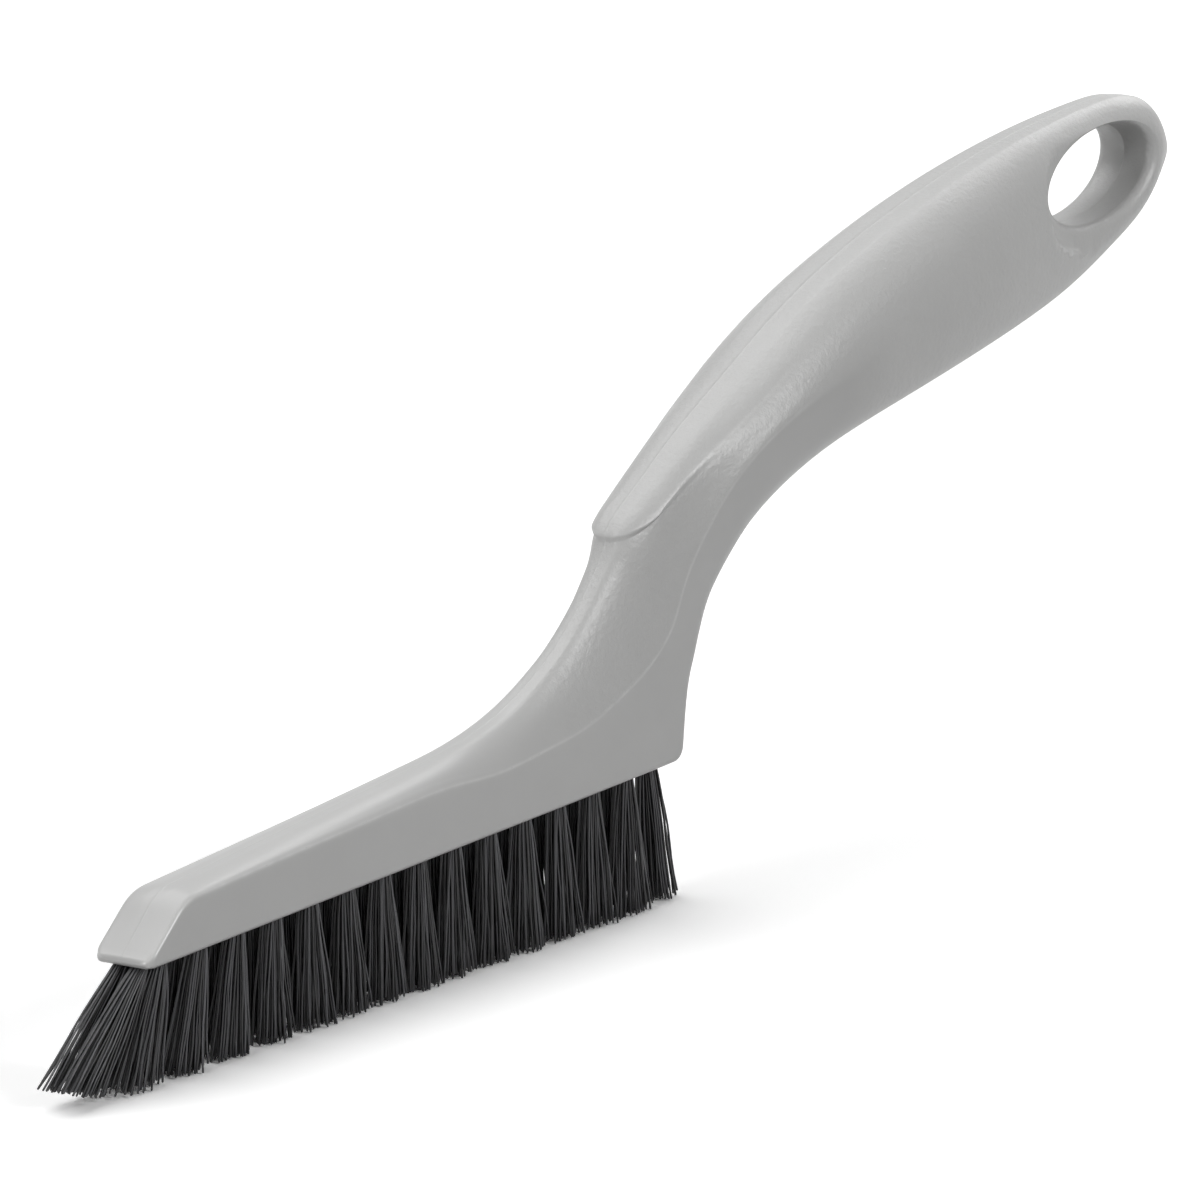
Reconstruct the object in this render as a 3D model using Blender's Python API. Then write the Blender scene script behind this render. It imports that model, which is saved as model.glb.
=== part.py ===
"""Window track brush.

One moulded piece makes the narrow head, the neck and the grip. Tufts of stiff filament stand in
blind holes in the head's underside, each folded round a flat wire anchor.

The head lies along X with its nose towards -X, its underside flat and the grip rising towards +X.
The bristle tips are trimmed on a plane that drops away from the head towards the heel, and the
whole brush is turned so that this plane is level.
"""
import math

import bmesh
import bpy
import numpy as np
from mathutils import Matrix, Vector
from mathutils.geometry import delaunay_2d_cdt

MM = 0.001

# Head
HEAD_LENGTH = 112.0 * MM
HEAD_WIDTH = 9.5 * MM
HEAD_HEIGHT = 8.1 * MM
HEAD_EDGE = 0.8 * MM
CREASE_EDGE = 0.9 * MM
HEEL_RADIUS = 1.6 * MM
HEEL_SET_BACK = 0.6 * MM
NOSE_SLOPE = math.radians(39.0)
NOSE_LIP_RADIUS = 0.7 * MM
NOSE_TOP_EASE = 2.4 * MM
NOSE_SIDE_RADIUS = 1.6 * MM
NOSE_SIDE_SHARE = 0.9
NOSE_CROWN_SHARE = 0.05

# Neck and grip
HANDLE_REACH = 123.0 * MM
HANDLE_RISE = 70.0 * MM
GRIP_WIDTH = 21.0 * MM
PANEL_STEP = 0.7 * MM
PANEL_STEP_RUN = 0.8 * MM
PANEL_LEAD = 2.3 * MM
PANEL_BOW = 10.0 * MM
PANEL_BEFORE = 22.0 * MM
PANEL_AFTER = 36.0 * MM
PANEL_FADE = 40.0 * MM
PANEL_SIDE_FADE = 15.0 * MM

# Hang hole
HANG_LENGTH = 25.2 * MM
HANG_HEIGHT = 12.8 * MM
HANG_TILT = math.radians(6.0)
HANG_PLACE_SHARE = (0.828, 0.857)
HANG_RIM_HALF = 5.6 * MM
HANG_RIM_RADIUS = 2.2 * MM
HANG_RIM_LAND = 1.2 * MM
HANG_RIM_FLARE = 5.0 * MM
HANG_SIDES = 40
HANG_RIM_STEPS = 4

# Bristles
ROW_SPACING = 3.7 * MM
ROW_TUFTS = 14
FIRST_TUFT = 5.3 * MM
LAST_TUFT_INSET = 10.4 * MM
HEEL_TUFT_INSET = 3.0 * MM
NOSE_TUFT_PLACE = 2.3 * MM
NOSE_TUFT_SPACING = 2.9 * MM
HOLE_DIAMETER = 2.8 * MM
NOSE_HOLE_DIAMETER = 2.1 * MM
HOLE_DEPTH = 5.2 * MM
NOSE_HOLE_DEPTH = 3.3 * MM
FIT_GAP = 0.25 * MM
TRIM_AT_NOSE = 15.8 * MM
TRIM_AT_HEEL = 19.4 * MM
NOSE_TRIM_LIFT = 0.0135 / MM
TIP_SHORTFALL = 0.5 * MM
STRANDS_PER_TUFT = 13
STRAND_RADIUS = 0.15 * MM
STRAND_SIDES = 3
STRAND_TURN = math.radians(11.0)
ROW_LEANS = tuple(math.radians(a) for a in (20.0, 13.0, 7.0, 3.0))
NOSE_LEAN = math.radians(33.0)
HEEL_LEAN = math.radians(-3.0)
NOSE_TIP_LEAN = math.radians(38.0)

# Anchors
ANCHOR_LENGTH = 3.2 * MM
ANCHOR_HEIGHT = 1.1 * MM
ANCHOR_THICKNESS = 0.35 * MM

GREY_PLASTIC = {"color": (0.55, 0.55, 0.545, 1.0), "roughness": 0.45, "metallic": 0.0}
BLACK_FILAMENT = {"color": (0.022, 0.022, 0.024, 1.0), "roughness": 0.5, "metallic": 0.0}
BRASS_WIRE = {"color": (0.72, 0.55, 0.26, 1.0), "roughness": 0.35, "metallic": 1.0}

# Head ribs stand upright. A row gives the place along HEAD_LENGTH, then the height at the middle
# and at the side edge as shares of HEAD_HEIGHT.
HEAD_RIB_SHARES = (
    (0.125, 1.04, 0.930),
    (0.27, 1.155, 0.995),
    (0.43, 1.285, 1.055),
    (0.555, 1.40, 1.07),
)

# Neck ribs fan round the heel, and grip ribs lie across the grip. A row gives the top and the
# bottom point as shares of HANDLE_REACH past the heel and of HANDLE_RISE.
RIB_SHARES = (
    (-0.3356, 0.1769, -0.3000, 0.0000),
    (-0.2661, 0.2061, -0.2110, 0.0000),
    (-0.2033, 0.2540, -0.1220, 0.0000),
    (-0.1578, 0.3046, -0.0490, 0.0000),
    (-0.1295, 0.3452, -0.0130, 0.0000),
    (-0.1058, 0.3850, 0.0069, 0.1056),
    (-0.0848, 0.4273, 0.0247, 0.1863),
    (-0.0669, 0.4702, 0.0443, 0.2600),
    (-0.0181, 0.5273, 0.0765, 0.3322),
    (0.0449, 0.5946, 0.1245, 0.4024),
    (0.1372, 0.6800, 0.2121, 0.4711),
    (0.2540, 0.7810, 0.3075, 0.5107),
    (0.3901, 0.8649, 0.4306, 0.5404),
    (0.5202, 0.9207, 0.5532, 0.5683),
    (0.6501, 0.9619, 0.6759, 0.5973),
    (0.7641, 0.9843, 0.7808, 0.6335),
    (0.8580, 0.9930, 0.8703, 0.6872),
    (0.9302, 0.9815, 0.9427, 0.7608),
    (0.9666, 0.9409, 0.9707, 0.8061),
    (0.9829, 0.8890, 0.9839, 0.8310),
    (0.9889, 0.8710, 0.9889, 0.8490),
)
HEEL_ROW = 4

# Section of each neck and grip rib. A row gives how far the width has grown from HEAD_WIDTH to
# GRIP_WIDTH, the lower corner's width and height, the crease's height, the ridge's width and
# height, and the roundness of those three corners. Widths are shares of the rib's half width and
# heights are shares of its length. Roundness runs from an edge (0) to a full curve (1).
SECTION_SHARES = (
    (0.00, 1.00, 0.00, 0.650, 0.66, 0.96, 0.00, 0.00, 0.50),
    (0.00, 1.00, 0.00, 0.600, 0.70, 0.96, 0.00, 0.00, 0.60),
    (0.00, 1.00, 0.00, 0.550, 0.74, 0.96, 0.02, 0.00, 0.75),
    (0.00, 1.00, 0.00, 0.560, 0.76, 0.965, 0.04, 0.00, 0.75),
    (0.00, 1.00, 0.00, 0.580, 0.77, 0.97, 0.06, 0.00, 0.60),
    (0.02, 1.00, 0.00, 0.470, 0.78, 0.965, 0.08, 0.00, 0.50),
    (0.04, 0.99, 0.00, 0.380, 0.79, 0.96, 0.12, 0.00, 0.40),
    (0.10, 0.97, 0.00, 0.370, 0.79, 0.96, 0.18, 0.00, 0.30),
    (0.22, 0.92, 0.00, 0.450, 0.76, 0.95, 0.26, 0.00, 0.20),
    (0.48, 0.84, 0.01, 0.580, 0.73, 0.93, 0.38, 0.02, 0.18),
    (0.78, 0.74, 0.02, 0.640, 0.72, 0.92, 0.55, 0.08, 0.22),
    (0.96, 0.70, 0.03, 0.570, 0.72, 0.915, 0.70, 0.30, 0.30),
    (1.00, 0.68, 0.04, 0.480, 0.72, 0.915, 0.85, 0.65, 0.45),
    (0.95, 0.68, 0.05, 0.470, 0.72, 0.92, 0.95, 0.90, 0.60),
    (0.72, 0.68, 0.06, 0.480, 0.71, 0.93, 1.00, 1.00, 0.75),
    (0.47, 0.68, 0.07, 0.500, 0.70, 0.94, 1.00, 1.00, 0.90),
    (0.30, 0.70, 0.08, 0.500, 0.70, 0.94, 1.00, 1.00, 1.00),
    (0.16, 0.72, 0.08, 0.500, 0.70, 0.93, 1.00, 1.00, 1.00),
    (-0.08, 0.74, 0.10, 0.500, 0.72, 0.91, 1.00, 1.00, 1.00),
    (-0.42, 0.76, 0.12, 0.500, 0.74, 0.89, 1.00, 1.00, 1.00),
    (-0.68, 0.80, 0.12, 0.500, 0.80, 0.88, 1.00, 1.00, 1.00),
)
HEAD_RIDGE_SHARES = (0.62, 0.975)
HEAD_RIDGE_ROUND_SHARE = 0.4
HEAD_CREASE_SHARE = 0.06
CROWN_FLAT_SHARE = 0.4
CORNER_LIMIT_SHARE = 0.47
RIDGE_LIMIT_SHARE = 0.9
PANEL_ROW = 7

# Flare round the hang hole's land: how far out of the land's plane and how far from its edge
HANG_FLARE_SHARES = ((0.06, 0.2), (0.24, 0.45), (0.6, 0.7), (3.0, 1.0))

# Ribs placed between one control row and the next, and points on each rounded corner
RIB_STEPS = (2, 3, 2, 2, 2, 2, 2, 2, 1, 1, 2, 4, 5, 4, 4, 3, 3, 3, 3, 2, 2, 2, 2, 1)
CORNER_POINTS = 4
RIDGE_POINTS = 6
RIDGE_EDGE_POINT = 1
CROWN_POINTS = 4
HEEL_ARC_STEPS = 4
LIP_ANGLES = (math.radians(25.0), math.radians(50.0))
NOSE_LINE_SHARES = (0.12, 0.4, 0.7, 1.0)
NOSE_ARC_STEPS = 4
DRILL_SIDES = 12
CUTTER_OVERRUN = 1.0 * MM
SMOOTH_ANGLE = math.radians(35.0)


def clear_scene():
    """Remove what the scene holds."""
    for old in list(bpy.data.objects):
        bpy.data.objects.remove(old, do_unlink=True)


def make_material(name, look):
    """A Principled material of one colour."""
    material = bpy.data.materials.new(name)
    material.use_nodes = True
    shader = material.node_tree.nodes["Principled BSDF"]
    shader.inputs["Base Color"].default_value = look["color"]
    shader.inputs["Roughness"].default_value = look["roughness"]
    shader.inputs["Metallic"].default_value = look["metallic"]
    return material


def smooth_curve(knots, values, at):
    """Natural cubic curve through the rows of values, read at one place or at many."""
    knots = np.asarray(knots, float)
    values = np.asarray(values, float)
    gaps = np.diff(knots)
    slopes = np.diff(values, axis=0) / gaps[:, None]
    count = len(knots)
    system = np.eye(count)
    right = np.zeros_like(values)
    for i in range(1, count - 1):
        system[i, i - 1] = gaps[i - 1]
        system[i, i] = 2 * (gaps[i - 1] + gaps[i])
        system[i, i + 1] = gaps[i]
        right[i] = 6 * (slopes[i] - slopes[i - 1])
    bends = np.linalg.solve(system, right)
    at = np.atleast_1d(at)
    cell = np.clip(np.searchsorted(knots, at, side="right") - 1, 0, count - 2)
    before = (at - knots[cell])[:, None]
    after = (knots[cell + 1] - at)[:, None]
    gap = gaps[cell][:, None]
    return (
        bends[cell] * after**3 / (6 * gap)
        + bends[cell + 1] * before**3 / (6 * gap)
        + (values[cell] / gap - bends[cell] * gap / 6) * after
        + (values[cell + 1] / gap - bends[cell + 1] * gap / 6) * before
    )


def rib_table():
    """Control ribs of the head, neck and grip, as rows of real sizes.

    A row holds top x and z, bottom x and z, half width, then the section shares.
    """
    half_head = HEAD_WIDTH / 2
    half_grip = GRIP_WIDTH / 2
    rows = []
    for along, top, side in HEAD_RIB_SHARES:
        x = HEAD_LENGTH * along
        rows.append((
            x, HEAD_HEIGHT * top, x, 0.0, half_head, 1.0, 0.0, side / top,
            HEAD_RIDGE_SHARES[0], HEAD_RIDGE_SHARES[1], 0.0, HEAD_CREASE_SHARE, HEAD_RIDGE_ROUND_SHARE,
        ))
    for rib, section in zip(RIB_SHARES, SECTION_SHARES):
        top_x = HEAD_LENGTH + HANDLE_REACH * rib[0]
        bottom_x = HEAD_LENGTH + HANDLE_REACH * rib[2]
        width = half_head + (half_grip - half_head) * section[0]
        rows.append((top_x, HANDLE_RISE * rib[1], bottom_x, HANDLE_RISE * rib[3], width) + section[1:])
    return np.array(rows)


def rib_places(rows):
    """Distance run along the middle of the ribs, used to space them."""
    middles = (rows[:, 0:2] + rows[:, 2:4]) / 2
    steps = np.linalg.norm(np.diff(middles, axis=0), axis=1)
    return np.concatenate(([0.0], np.cumsum(steps)))


def heel_arc(rear_point):
    """Points round the heel's lower corner, from the underside to the rear face."""
    corner = np.array([HEAD_LENGTH - HEEL_SET_BACK, 0.0])
    rear = (rear_point - corner) / np.linalg.norm(rear_point - corner)
    start = corner - np.array([HEEL_RADIUS, 0.0])
    end = corner + rear * HEEL_RADIUS
    points = []
    for i in range(HEEL_ARC_STEPS + 1):
        t = i / HEEL_ARC_STEPS
        points.append(start * (1 - t) ** 2 + corner * 2 * t * (1 - t) + end * t**2)
    return points


def rib_curve():
    """Function that gives the rib at any place, and the places of the control ribs.

    The underside and the rear face are separate curves that meet in the heel's rounded corner.
    """
    rows = rib_table()
    places = rib_places(rows)
    heel = len(HEAD_RIB_SHARES) + HEEL_ROW
    arc = heel_arc(rows[heel + 1, 2:4])
    rear_rows = rows[heel:, 2:4].copy()
    rear_rows[0] = arc[-1]
    run = HEEL_RADIUS * 2
    rear_places = places[heel:].copy()
    rear_places[0] += run

    def section_at(place):
        values = smooth_curve(places, rows, place)[0]
        if place <= places[heel]:
            values[2] = min(values[2], arc[0][0])
            values[3] = 0.0
            values[4] = HEAD_WIDTH / 2
            if place == places[heel]:
                values[2] = arc[0][0]
        elif place < rear_places[0]:
            t = (place - places[heel]) / run
            corner = np.array([HEAD_LENGTH - HEEL_SET_BACK, 0.0])
            values[2:4] = arc[0] * (1 - t) ** 2 + corner * 2 * t * (1 - t) + arc[-1] * t**2
        else:
            values[2:4] = smooth_curve(rear_places, rear_rows, place)[0]
        return values

    return section_at, places


def rib_spacing(places, lip_place):
    """Places of all ribs, closer together at the heel's corner and at the panel's lip."""
    spaced = []
    for row, steps in enumerate(RIB_STEPS):
        for i in range(steps):
            spaced.append(places[row] + (places[row + 1] - places[row]) * i / steps)
    heel = places[len(HEAD_RIB_SHARES) + HEEL_ROW]
    kept = [heel + HEEL_RADIUS * 2 * i / HEEL_ARC_STEPS for i in range(HEEL_ARC_STEPS + 1)]
    lip = lip_place + PANEL_BOW
    kept += [lip - PANEL_STEP_RUN, lip, lip + PANEL_STEP_RUN / 2, lip + PANEL_STEP_RUN, places[-1]]
    for place in spaced:
        if all(abs(place - other) > PANEL_STEP_RUN / 2 for other in kept):
            kept.append(place)
    return sorted(kept)


def corner_cuts(values):
    """Length cut back from the three corners of a section before they are rounded."""
    width = values[4]
    length = math.hypot(values[0] - values[2], values[1] - values[3])
    full = (width * width * length) ** (1 / 3) * 1.05
    edges = (HEAD_EDGE, CREASE_EDGE, CREASE_EDGE)
    return [edge + (full - edge) * share for edge, share in zip(edges, values[10:13])]


def curve_points(start, corner, end, count):
    """Points of a quadratic curve, both ends included."""
    points = []
    for i in range(count):
        t = i / (count - 1)
        points.append(start * (1 - t) ** 2 + corner * 2 * t * (1 - t) + end * t**2)
    return points


def round_corner(before, corner, after, cut, limit_share, count):
    """Points of a curve that replaces a corner, with each end cut back along its edge."""
    back = before - corner
    ahead = after - corner
    back_length = np.linalg.norm(back)
    ahead_length = np.linalg.norm(ahead)
    start = corner + back / back_length * min(cut, back_length * CORNER_LIMIT_SHARE)
    end = corner + ahead / ahead_length * min(cut, ahead_length * limit_share)
    return curve_points(start, corner, end, count)


def half_section(values):
    """Right half of a section as points (across, up), from the bottom middle to the top middle."""
    length = math.hypot(values[0] - values[2], values[1] - values[3])
    width = values[4]
    bottom = np.array([0.0, 0.0])
    lower = np.array([width * values[5], length * values[6]])
    crease = np.array([width, length * values[7]])
    ridge = np.array([width * values[8], length * values[9]])
    flat = np.array([ridge[0] * CROWN_FLAT_SHARE, length])
    top = np.array([0.0, length])
    cuts = corner_cuts(values)
    first = round_corner(bottom, lower, crease, cuts[0], CORNER_LIMIT_SHARE, CORNER_POINTS)
    second = round_corner(lower, crease, ridge, cuts[1], CORNER_LIMIT_SHARE, CORNER_POINTS)
    third = round_corner(crease, ridge, flat, cuts[2], RIDGE_LIMIT_SHARE, RIDGE_POINTS)
    points = [bottom, first[0] / 2]
    points += first
    points.append((first[-1] + second[0]) / 2)
    points += second
    points.append((second[-1] + third[0]) / 2)
    points += third
    points += curve_points(third[-1], flat, top, CROWN_POINTS)[1:]
    return np.array(points)


def ease(value):
    """Smooth step from 0 to 1."""
    value = min(max(value, 0.0), 1.0)
    return value * value * (3 - 2 * value)


def panel_shift(place, lip_place, across_share):
    """How far towards the head a rib's points move, so that a rib follows the panel's lip."""
    middle = lip_place + PANEL_BOW
    reach = PANEL_BEFORE if place < middle else PANEL_AFTER
    window = ease(1 - abs(place - middle) / reach)
    across = min(across_share, 1.0)
    return PANEL_BOW * math.sqrt(1 - across**4) * window


def panel_lift(place, lip_place, across_share):
    """Height of the thumb panel over the surface around it, which fades sooner at its sides."""
    past = place - lip_place - PANEL_BOW
    fade = PANEL_FADE + (PANEL_SIDE_FADE - PANEL_FADE) * ease(across_share)
    return PANEL_STEP * ease(past / PANEL_STEP_RUN) * (1 - ease(past / fade))


def ring_points(section_at, place, lip_place):
    """One closed ring of the handle, as points in space."""
    here = section_at(place)
    flat_half = half_section(here)
    count = len(flat_half)
    edge_point = count - CROWN_POINTS - RIDGE_POINTS + 1 + RIDGE_EDGE_POINT
    edge = flat_half[edge_point][0]
    points = []
    for i in range(count):
        shift = 0.0
        lift = 0.0
        if i > edge_point:
            across_share = flat_half[i][0] / edge
            shift = panel_shift(place, lip_place, across_share)
            lift = panel_lift(place, lip_place, across_share)
        values = here
        half = flat_half
        if shift > 0.0:
            values = section_at(place - shift)
            half = half_section(values)
        point = half[i]
        if lift > 0.0:
            run = half[min(i + 1, count - 1)] - half[i - 1]
            if i == count - 1:
                run = np.array([-1.0, 0.0])
            point = point + np.array([run[1], -run[0]]) / np.linalg.norm(run) * lift
        bottom = values[2:4]
        up = values[0:2] - bottom
        where = bottom + up / np.linalg.norm(up) * point[1]
        points.append(Vector((where[0], -point[0], where[1])))
    mirrored = [Vector((p.x, -p.y, p.z)) for p in points[1:-1]]
    return points + mirrored[::-1]


def nose_outline():
    """Side outline of the nose: (x, lower z, upper side edge z) from the lip to the head."""
    rise = math.tan(NOSE_SLOPE)
    head_row = HEAD_RIB_SHARES[0]
    next_row = HEAD_RIB_SHARES[1]
    head_x = HEAD_LENGTH * head_row[0]
    head_z = HEAD_HEIGHT * head_row[2]
    run = HEAD_LENGTH * (next_row[0] - head_row[0])
    head_slope = HEAD_HEIGHT * (next_row[2] - head_row[2]) / run
    lip_x = NOSE_LIP_RADIUS
    start_z = NOSE_LIP_RADIUS * (1 + 1 / math.cos(NOSE_SLOPE)) - rise * lip_x
    meet_x = (head_z - head_slope * head_x - start_z) / (rise - head_slope)
    meet_z = start_z + rise * meet_x
    outline = []
    for angle in LIP_ANGLES:
        x = lip_x - NOSE_LIP_RADIUS * math.cos(angle)
        drop = NOSE_LIP_RADIUS * math.sin(angle)
        outline.append((x, NOSE_LIP_RADIUS - drop, NOSE_LIP_RADIUS + drop))
    ease_x = NOSE_TOP_EASE * math.cos(NOSE_SLOPE)
    for share in NOSE_LINE_SHARES:
        x = lip_x + (meet_x - ease_x - lip_x) * share
        outline.append((x, 0.0, start_z + rise * x))
    begin = (meet_x - ease_x, meet_z - NOSE_TOP_EASE * math.sin(NOSE_SLOPE))
    end = (meet_x + NOSE_TOP_EASE, meet_z + NOSE_TOP_EASE * head_slope)
    for i in range(1, NOSE_ARC_STEPS + 1):
        t = i / NOSE_ARC_STEPS
        x = begin[0] * (1 - t) ** 2 + meet_x * 2 * t * (1 - t) + end[0] * t**2
        z = begin[1] * (1 - t) ** 2 + meet_z * 2 * t * (1 - t) + end[1] * t**2
        outline.append((x, 0.0, z))
    return outline


def nose_rings(first_row, lip_place):
    """Upright rings from the nose back to the head's first control rib."""
    head_share = first_row[7]
    outline = nose_outline()
    reach = first_row[0]
    rings = []
    for x, low, side in outline:
        share = x / reach
        crown = NOSE_CROWN_SHARE + (1 - head_share - NOSE_CROWN_SHARE) * share
        length = (side - low) / (1 - crown)
        turn = max(0.0, NOSE_SIDE_RADIUS - x)
        tuck = NOSE_SIDE_RADIUS - math.sqrt(max(0.0, NOSE_SIDE_RADIUS**2 - turn**2))
        values = first_row.copy()
        values[0:4] = (x, low + length, x, low)
        values[4] = first_row[4] - tuck * NOSE_SIDE_SHARE
        values[7] = 1 - crown
        rings.append(ring_points(lambda place, found=values: found, -lip_place, lip_place))
    return rings


def loft(name, rings):
    """Closed mesh through equal rings of points, with a flat face over each end."""
    mesh = bpy.data.meshes.new(name)
    form = bmesh.new()
    layers = [[form.verts.new(point) for point in ring] for ring in rings]
    count = len(rings[0])
    for lower, upper in zip(layers, layers[1:]):
        for i in range(count):
            j = (i + 1) % count
            form.faces.new((lower[i], lower[j], upper[j], upper[i]))
    form.faces.new(layers[0])
    form.faces.new(layers[-1][::-1])
    bmesh.ops.recalc_face_normals(form, faces=form.faces)
    form.to_mesh(mesh)
    form.free()
    return mesh


def add_object(name, mesh, parent, material=None):
    """Place a mesh in the scene under a parent."""
    item = bpy.data.objects.new(name, mesh)
    bpy.context.collection.objects.link(item)
    item.parent = parent
    if material:
        mesh.materials.append(material)
    return item


def as_cutter(item):
    """Mark an object as a cutting tool that is not part of the brush."""
    item.hide_render = True
    item.display_type = "WIRE"
    return item


def cut(item, cutter):
    """Cut one object by another."""
    step = item.modifiers.new(cutter.name, "BOOLEAN")
    step.operation = "DIFFERENCE"
    step.solver = "EXACT"
    step.object = cutter


def hang_centre():
    """Middle of the hang hole, in the plane of symmetry."""
    return Vector((
        HEAD_LENGTH + HANDLE_REACH * HANG_PLACE_SHARE[0],
        0.0,
        HANDLE_RISE * HANG_PLACE_SHARE[1],
    ))


def hang_ring(across, grow):
    """Oval ring of the hang hole, at one depth and with one offset."""
    centre = hang_centre()
    half_length = HANG_LENGTH / 2 + grow
    half_height = HANG_HEIGHT / 2 + grow
    cos_tilt = math.cos(HANG_TILT)
    sin_tilt = math.sin(HANG_TILT)
    ring = []
    for i in range(HANG_SIDES):
        angle = 2 * math.pi * i / HANG_SIDES
        along = half_length * math.cos(angle)
        up = half_height * math.sin(angle)
        x = centre.x + along * cos_tilt - up * sin_tilt
        z = centre.z + along * sin_tilt + up * cos_tilt
        ring.append(Vector((x, across, z)))
    return ring


def hang_cutter(parent):
    """Spool that cuts the hang hole with its rounded rims and the flat land round each one."""
    side = [(0.0, 0.0)]
    middle = HANG_RIM_HALF - HANG_RIM_RADIUS
    for i in range(HANG_RIM_STEPS + 1):
        angle = math.pi / 2 * i / HANG_RIM_STEPS
        grow = HANG_RIM_RADIUS * (1 - math.cos(angle))
        side.append((middle + HANG_RIM_RADIUS * math.sin(angle), grow))
    land = HANG_RIM_RADIUS + HANG_RIM_LAND
    side.append((HANG_RIM_HALF, land))
    for rise, run in HANG_FLARE_SHARES:
        side.append((HANG_RIM_HALF + HANG_RIM_FLARE * rise, land + HANG_RIM_FLARE * run))
    rings = [hang_ring(-across, grow) for across, grow in reversed(side)]
    rings += [hang_ring(across, grow) for across, grow in side[1:]]
    cutter = add_object("hang_hole_cutter", loft("hang_hole_cutter", rings), parent)
    return as_cutter(cutter)


def tuft_list():
    """Every tuft: name, mouth x and y, lean, tip lean, hole diameter and depth, tip spread."""
    pitch = (HEAD_LENGTH - LAST_TUFT_INSET - FIRST_TUFT) / (ROW_TUFTS - 1)
    half_row = ROW_SPACING / 2
    tufts = []
    for side, sign in (("right", -1), ("left", 1)):
        tufts.append({
            "name": "nose_tuft_" + side, "x": NOSE_TUFT_PLACE, "y": sign * NOSE_TUFT_SPACING / 2,
            "lean": NOSE_LEAN, "tip_lean": NOSE_TIP_LEAN, "turn": STRAND_TURN, "mirror": sign,
            "diameter": NOSE_HOLE_DIAMETER, "depth": NOSE_HOLE_DEPTH,
            "spread": (pitch / 2 * 1.35, NOSE_TUFT_SPACING / 2 * 0.84), "anchor": None,
        })
    for n in range(ROW_TUFTS):
        lean = ROW_LEANS[n] if n < len(ROW_LEANS) else 0.0
        diameter = HOLE_DIAMETER if n else NOSE_HOLE_DIAMETER
        for side, sign in (("right", -1), ("left", 1)):
            tufts.append({
                "name": "tuft_%s_%02d" % (side, n + 1), "x": FIRST_TUFT + pitch * n,
                "y": sign * half_row, "lean": lean, "tip_lean": lean,
                "turn": STRAND_TURN, "mirror": sign,
                "diameter": diameter, "depth": HOLE_DEPTH,
                "spread": (pitch / 2 * 0.9, half_row * 0.84),
                "anchor": "anchor_%s_%02d" % (side, n + 1),
            })
    tufts.append({
        "name": "heel_tuft", "x": HEAD_LENGTH - HEEL_TUFT_INSET, "y": 0.0,
        "lean": HEEL_LEAN, "tip_lean": HEEL_LEAN, "turn": 0.0, "mirror": 1,
        "diameter": HOLE_DIAMETER, "depth": HOLE_DEPTH,
        "spread": (pitch / 2 * 0.8, half_row * 1.2), "anchor": None,
    })
    return tufts


def tuft_frame(tuft):
    """Matrix that puts a tuft's own frame, +Z into the head, at its hole's mouth."""
    turn = Matrix.Rotation(tuft["lean"], 4, "Y")
    return Matrix.Translation((tuft["x"], tuft["y"], 0.0)) @ turn


def drill_mesh(name, tufts):
    """All the tuft holes as one set of drills."""
    mesh = bpy.data.meshes.new(name)
    form = bmesh.new()
    for tuft in tufts:
        length = tuft["depth"] + CUTTER_OVERRUN
        place = tuft_frame(tuft) @ Matrix.Translation((0.0, 0.0, tuft["depth"] - length / 2))
        bmesh.ops.create_cone(
            form, cap_ends=True, segments=DRILL_SIDES, radius1=tuft["diameter"] / 2,
            radius2=tuft["diameter"] / 2, depth=length, matrix=place,
        )
    form.to_mesh(mesh)
    form.free()
    return mesh


def anchor_middle(tuft):
    """Height of the anchor's middle over the hole's mouth, in the tuft's own frame."""
    return tuft["depth"] - 3 * FIT_GAP - ANCHOR_HEIGHT / 2


def box_mesh(name, tufts, size):
    """A box of one size at the anchor's place in each tuft given."""
    mesh = bpy.data.meshes.new(name)
    form = bmesh.new()
    for tuft in tufts:
        place = tuft_frame(tuft) @ Matrix.Translation((0.0, 0.0, anchor_middle(tuft)))
        bmesh.ops.create_cube(form, size=1.0, matrix=place @ Matrix.Diagonal((*size, 1.0)))
    form.to_mesh(mesh)
    form.free()
    return mesh


def strand_roots(radius, turn, mirror):
    """Places of a tuft's strands in its mouth: one in the middle and two rings of six."""
    places = [(0.0, 0.0)]
    for reach, start in ((radius / math.sqrt(3), turn), (radius, turn + math.pi / 6)):
        for i in range(6):
            angle = start + math.pi / 3 * i
            places.append((reach * math.cos(angle), mirror * reach * math.sin(angle)))
    return places


def trim_height(x):
    """Height of the plane on which the bristle tips are trimmed, lifted ahead of the nose."""
    drop = TRIM_AT_NOSE + (TRIM_AT_HEEL - TRIM_AT_NOSE) * x / HEAD_LENGTH
    lift = NOSE_TRIM_LIFT * min(x, 0.0) ** 2
    return lift - drop


def strand_tip(tuft, root, radius, number):
    """Middle of a strand's tip."""
    frame = tuft_frame(tuft)
    start = frame @ Vector((root[0], root[1], 0.0))
    spread = tuft["spread"]
    middle_x = tuft["x"] + math.tan(tuft["tip_lean"]) * trim_height(tuft["x"])
    x = middle_x + root[0] / radius * spread[0]
    y = tuft["y"] + root[1] / radius * spread[1]
    end = Vector((x, y, trim_height(x)))
    short = TIP_SHORTFALL * ((number * 5) % STRANDS_PER_TUFT) / STRANDS_PER_TUFT
    if number % 3 == 0 or tuft["turn"] == 0.0:
        short = 0.0
    share = 1 - short / (start - end).length
    return start + (end - start) * share, short == 0.0


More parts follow.
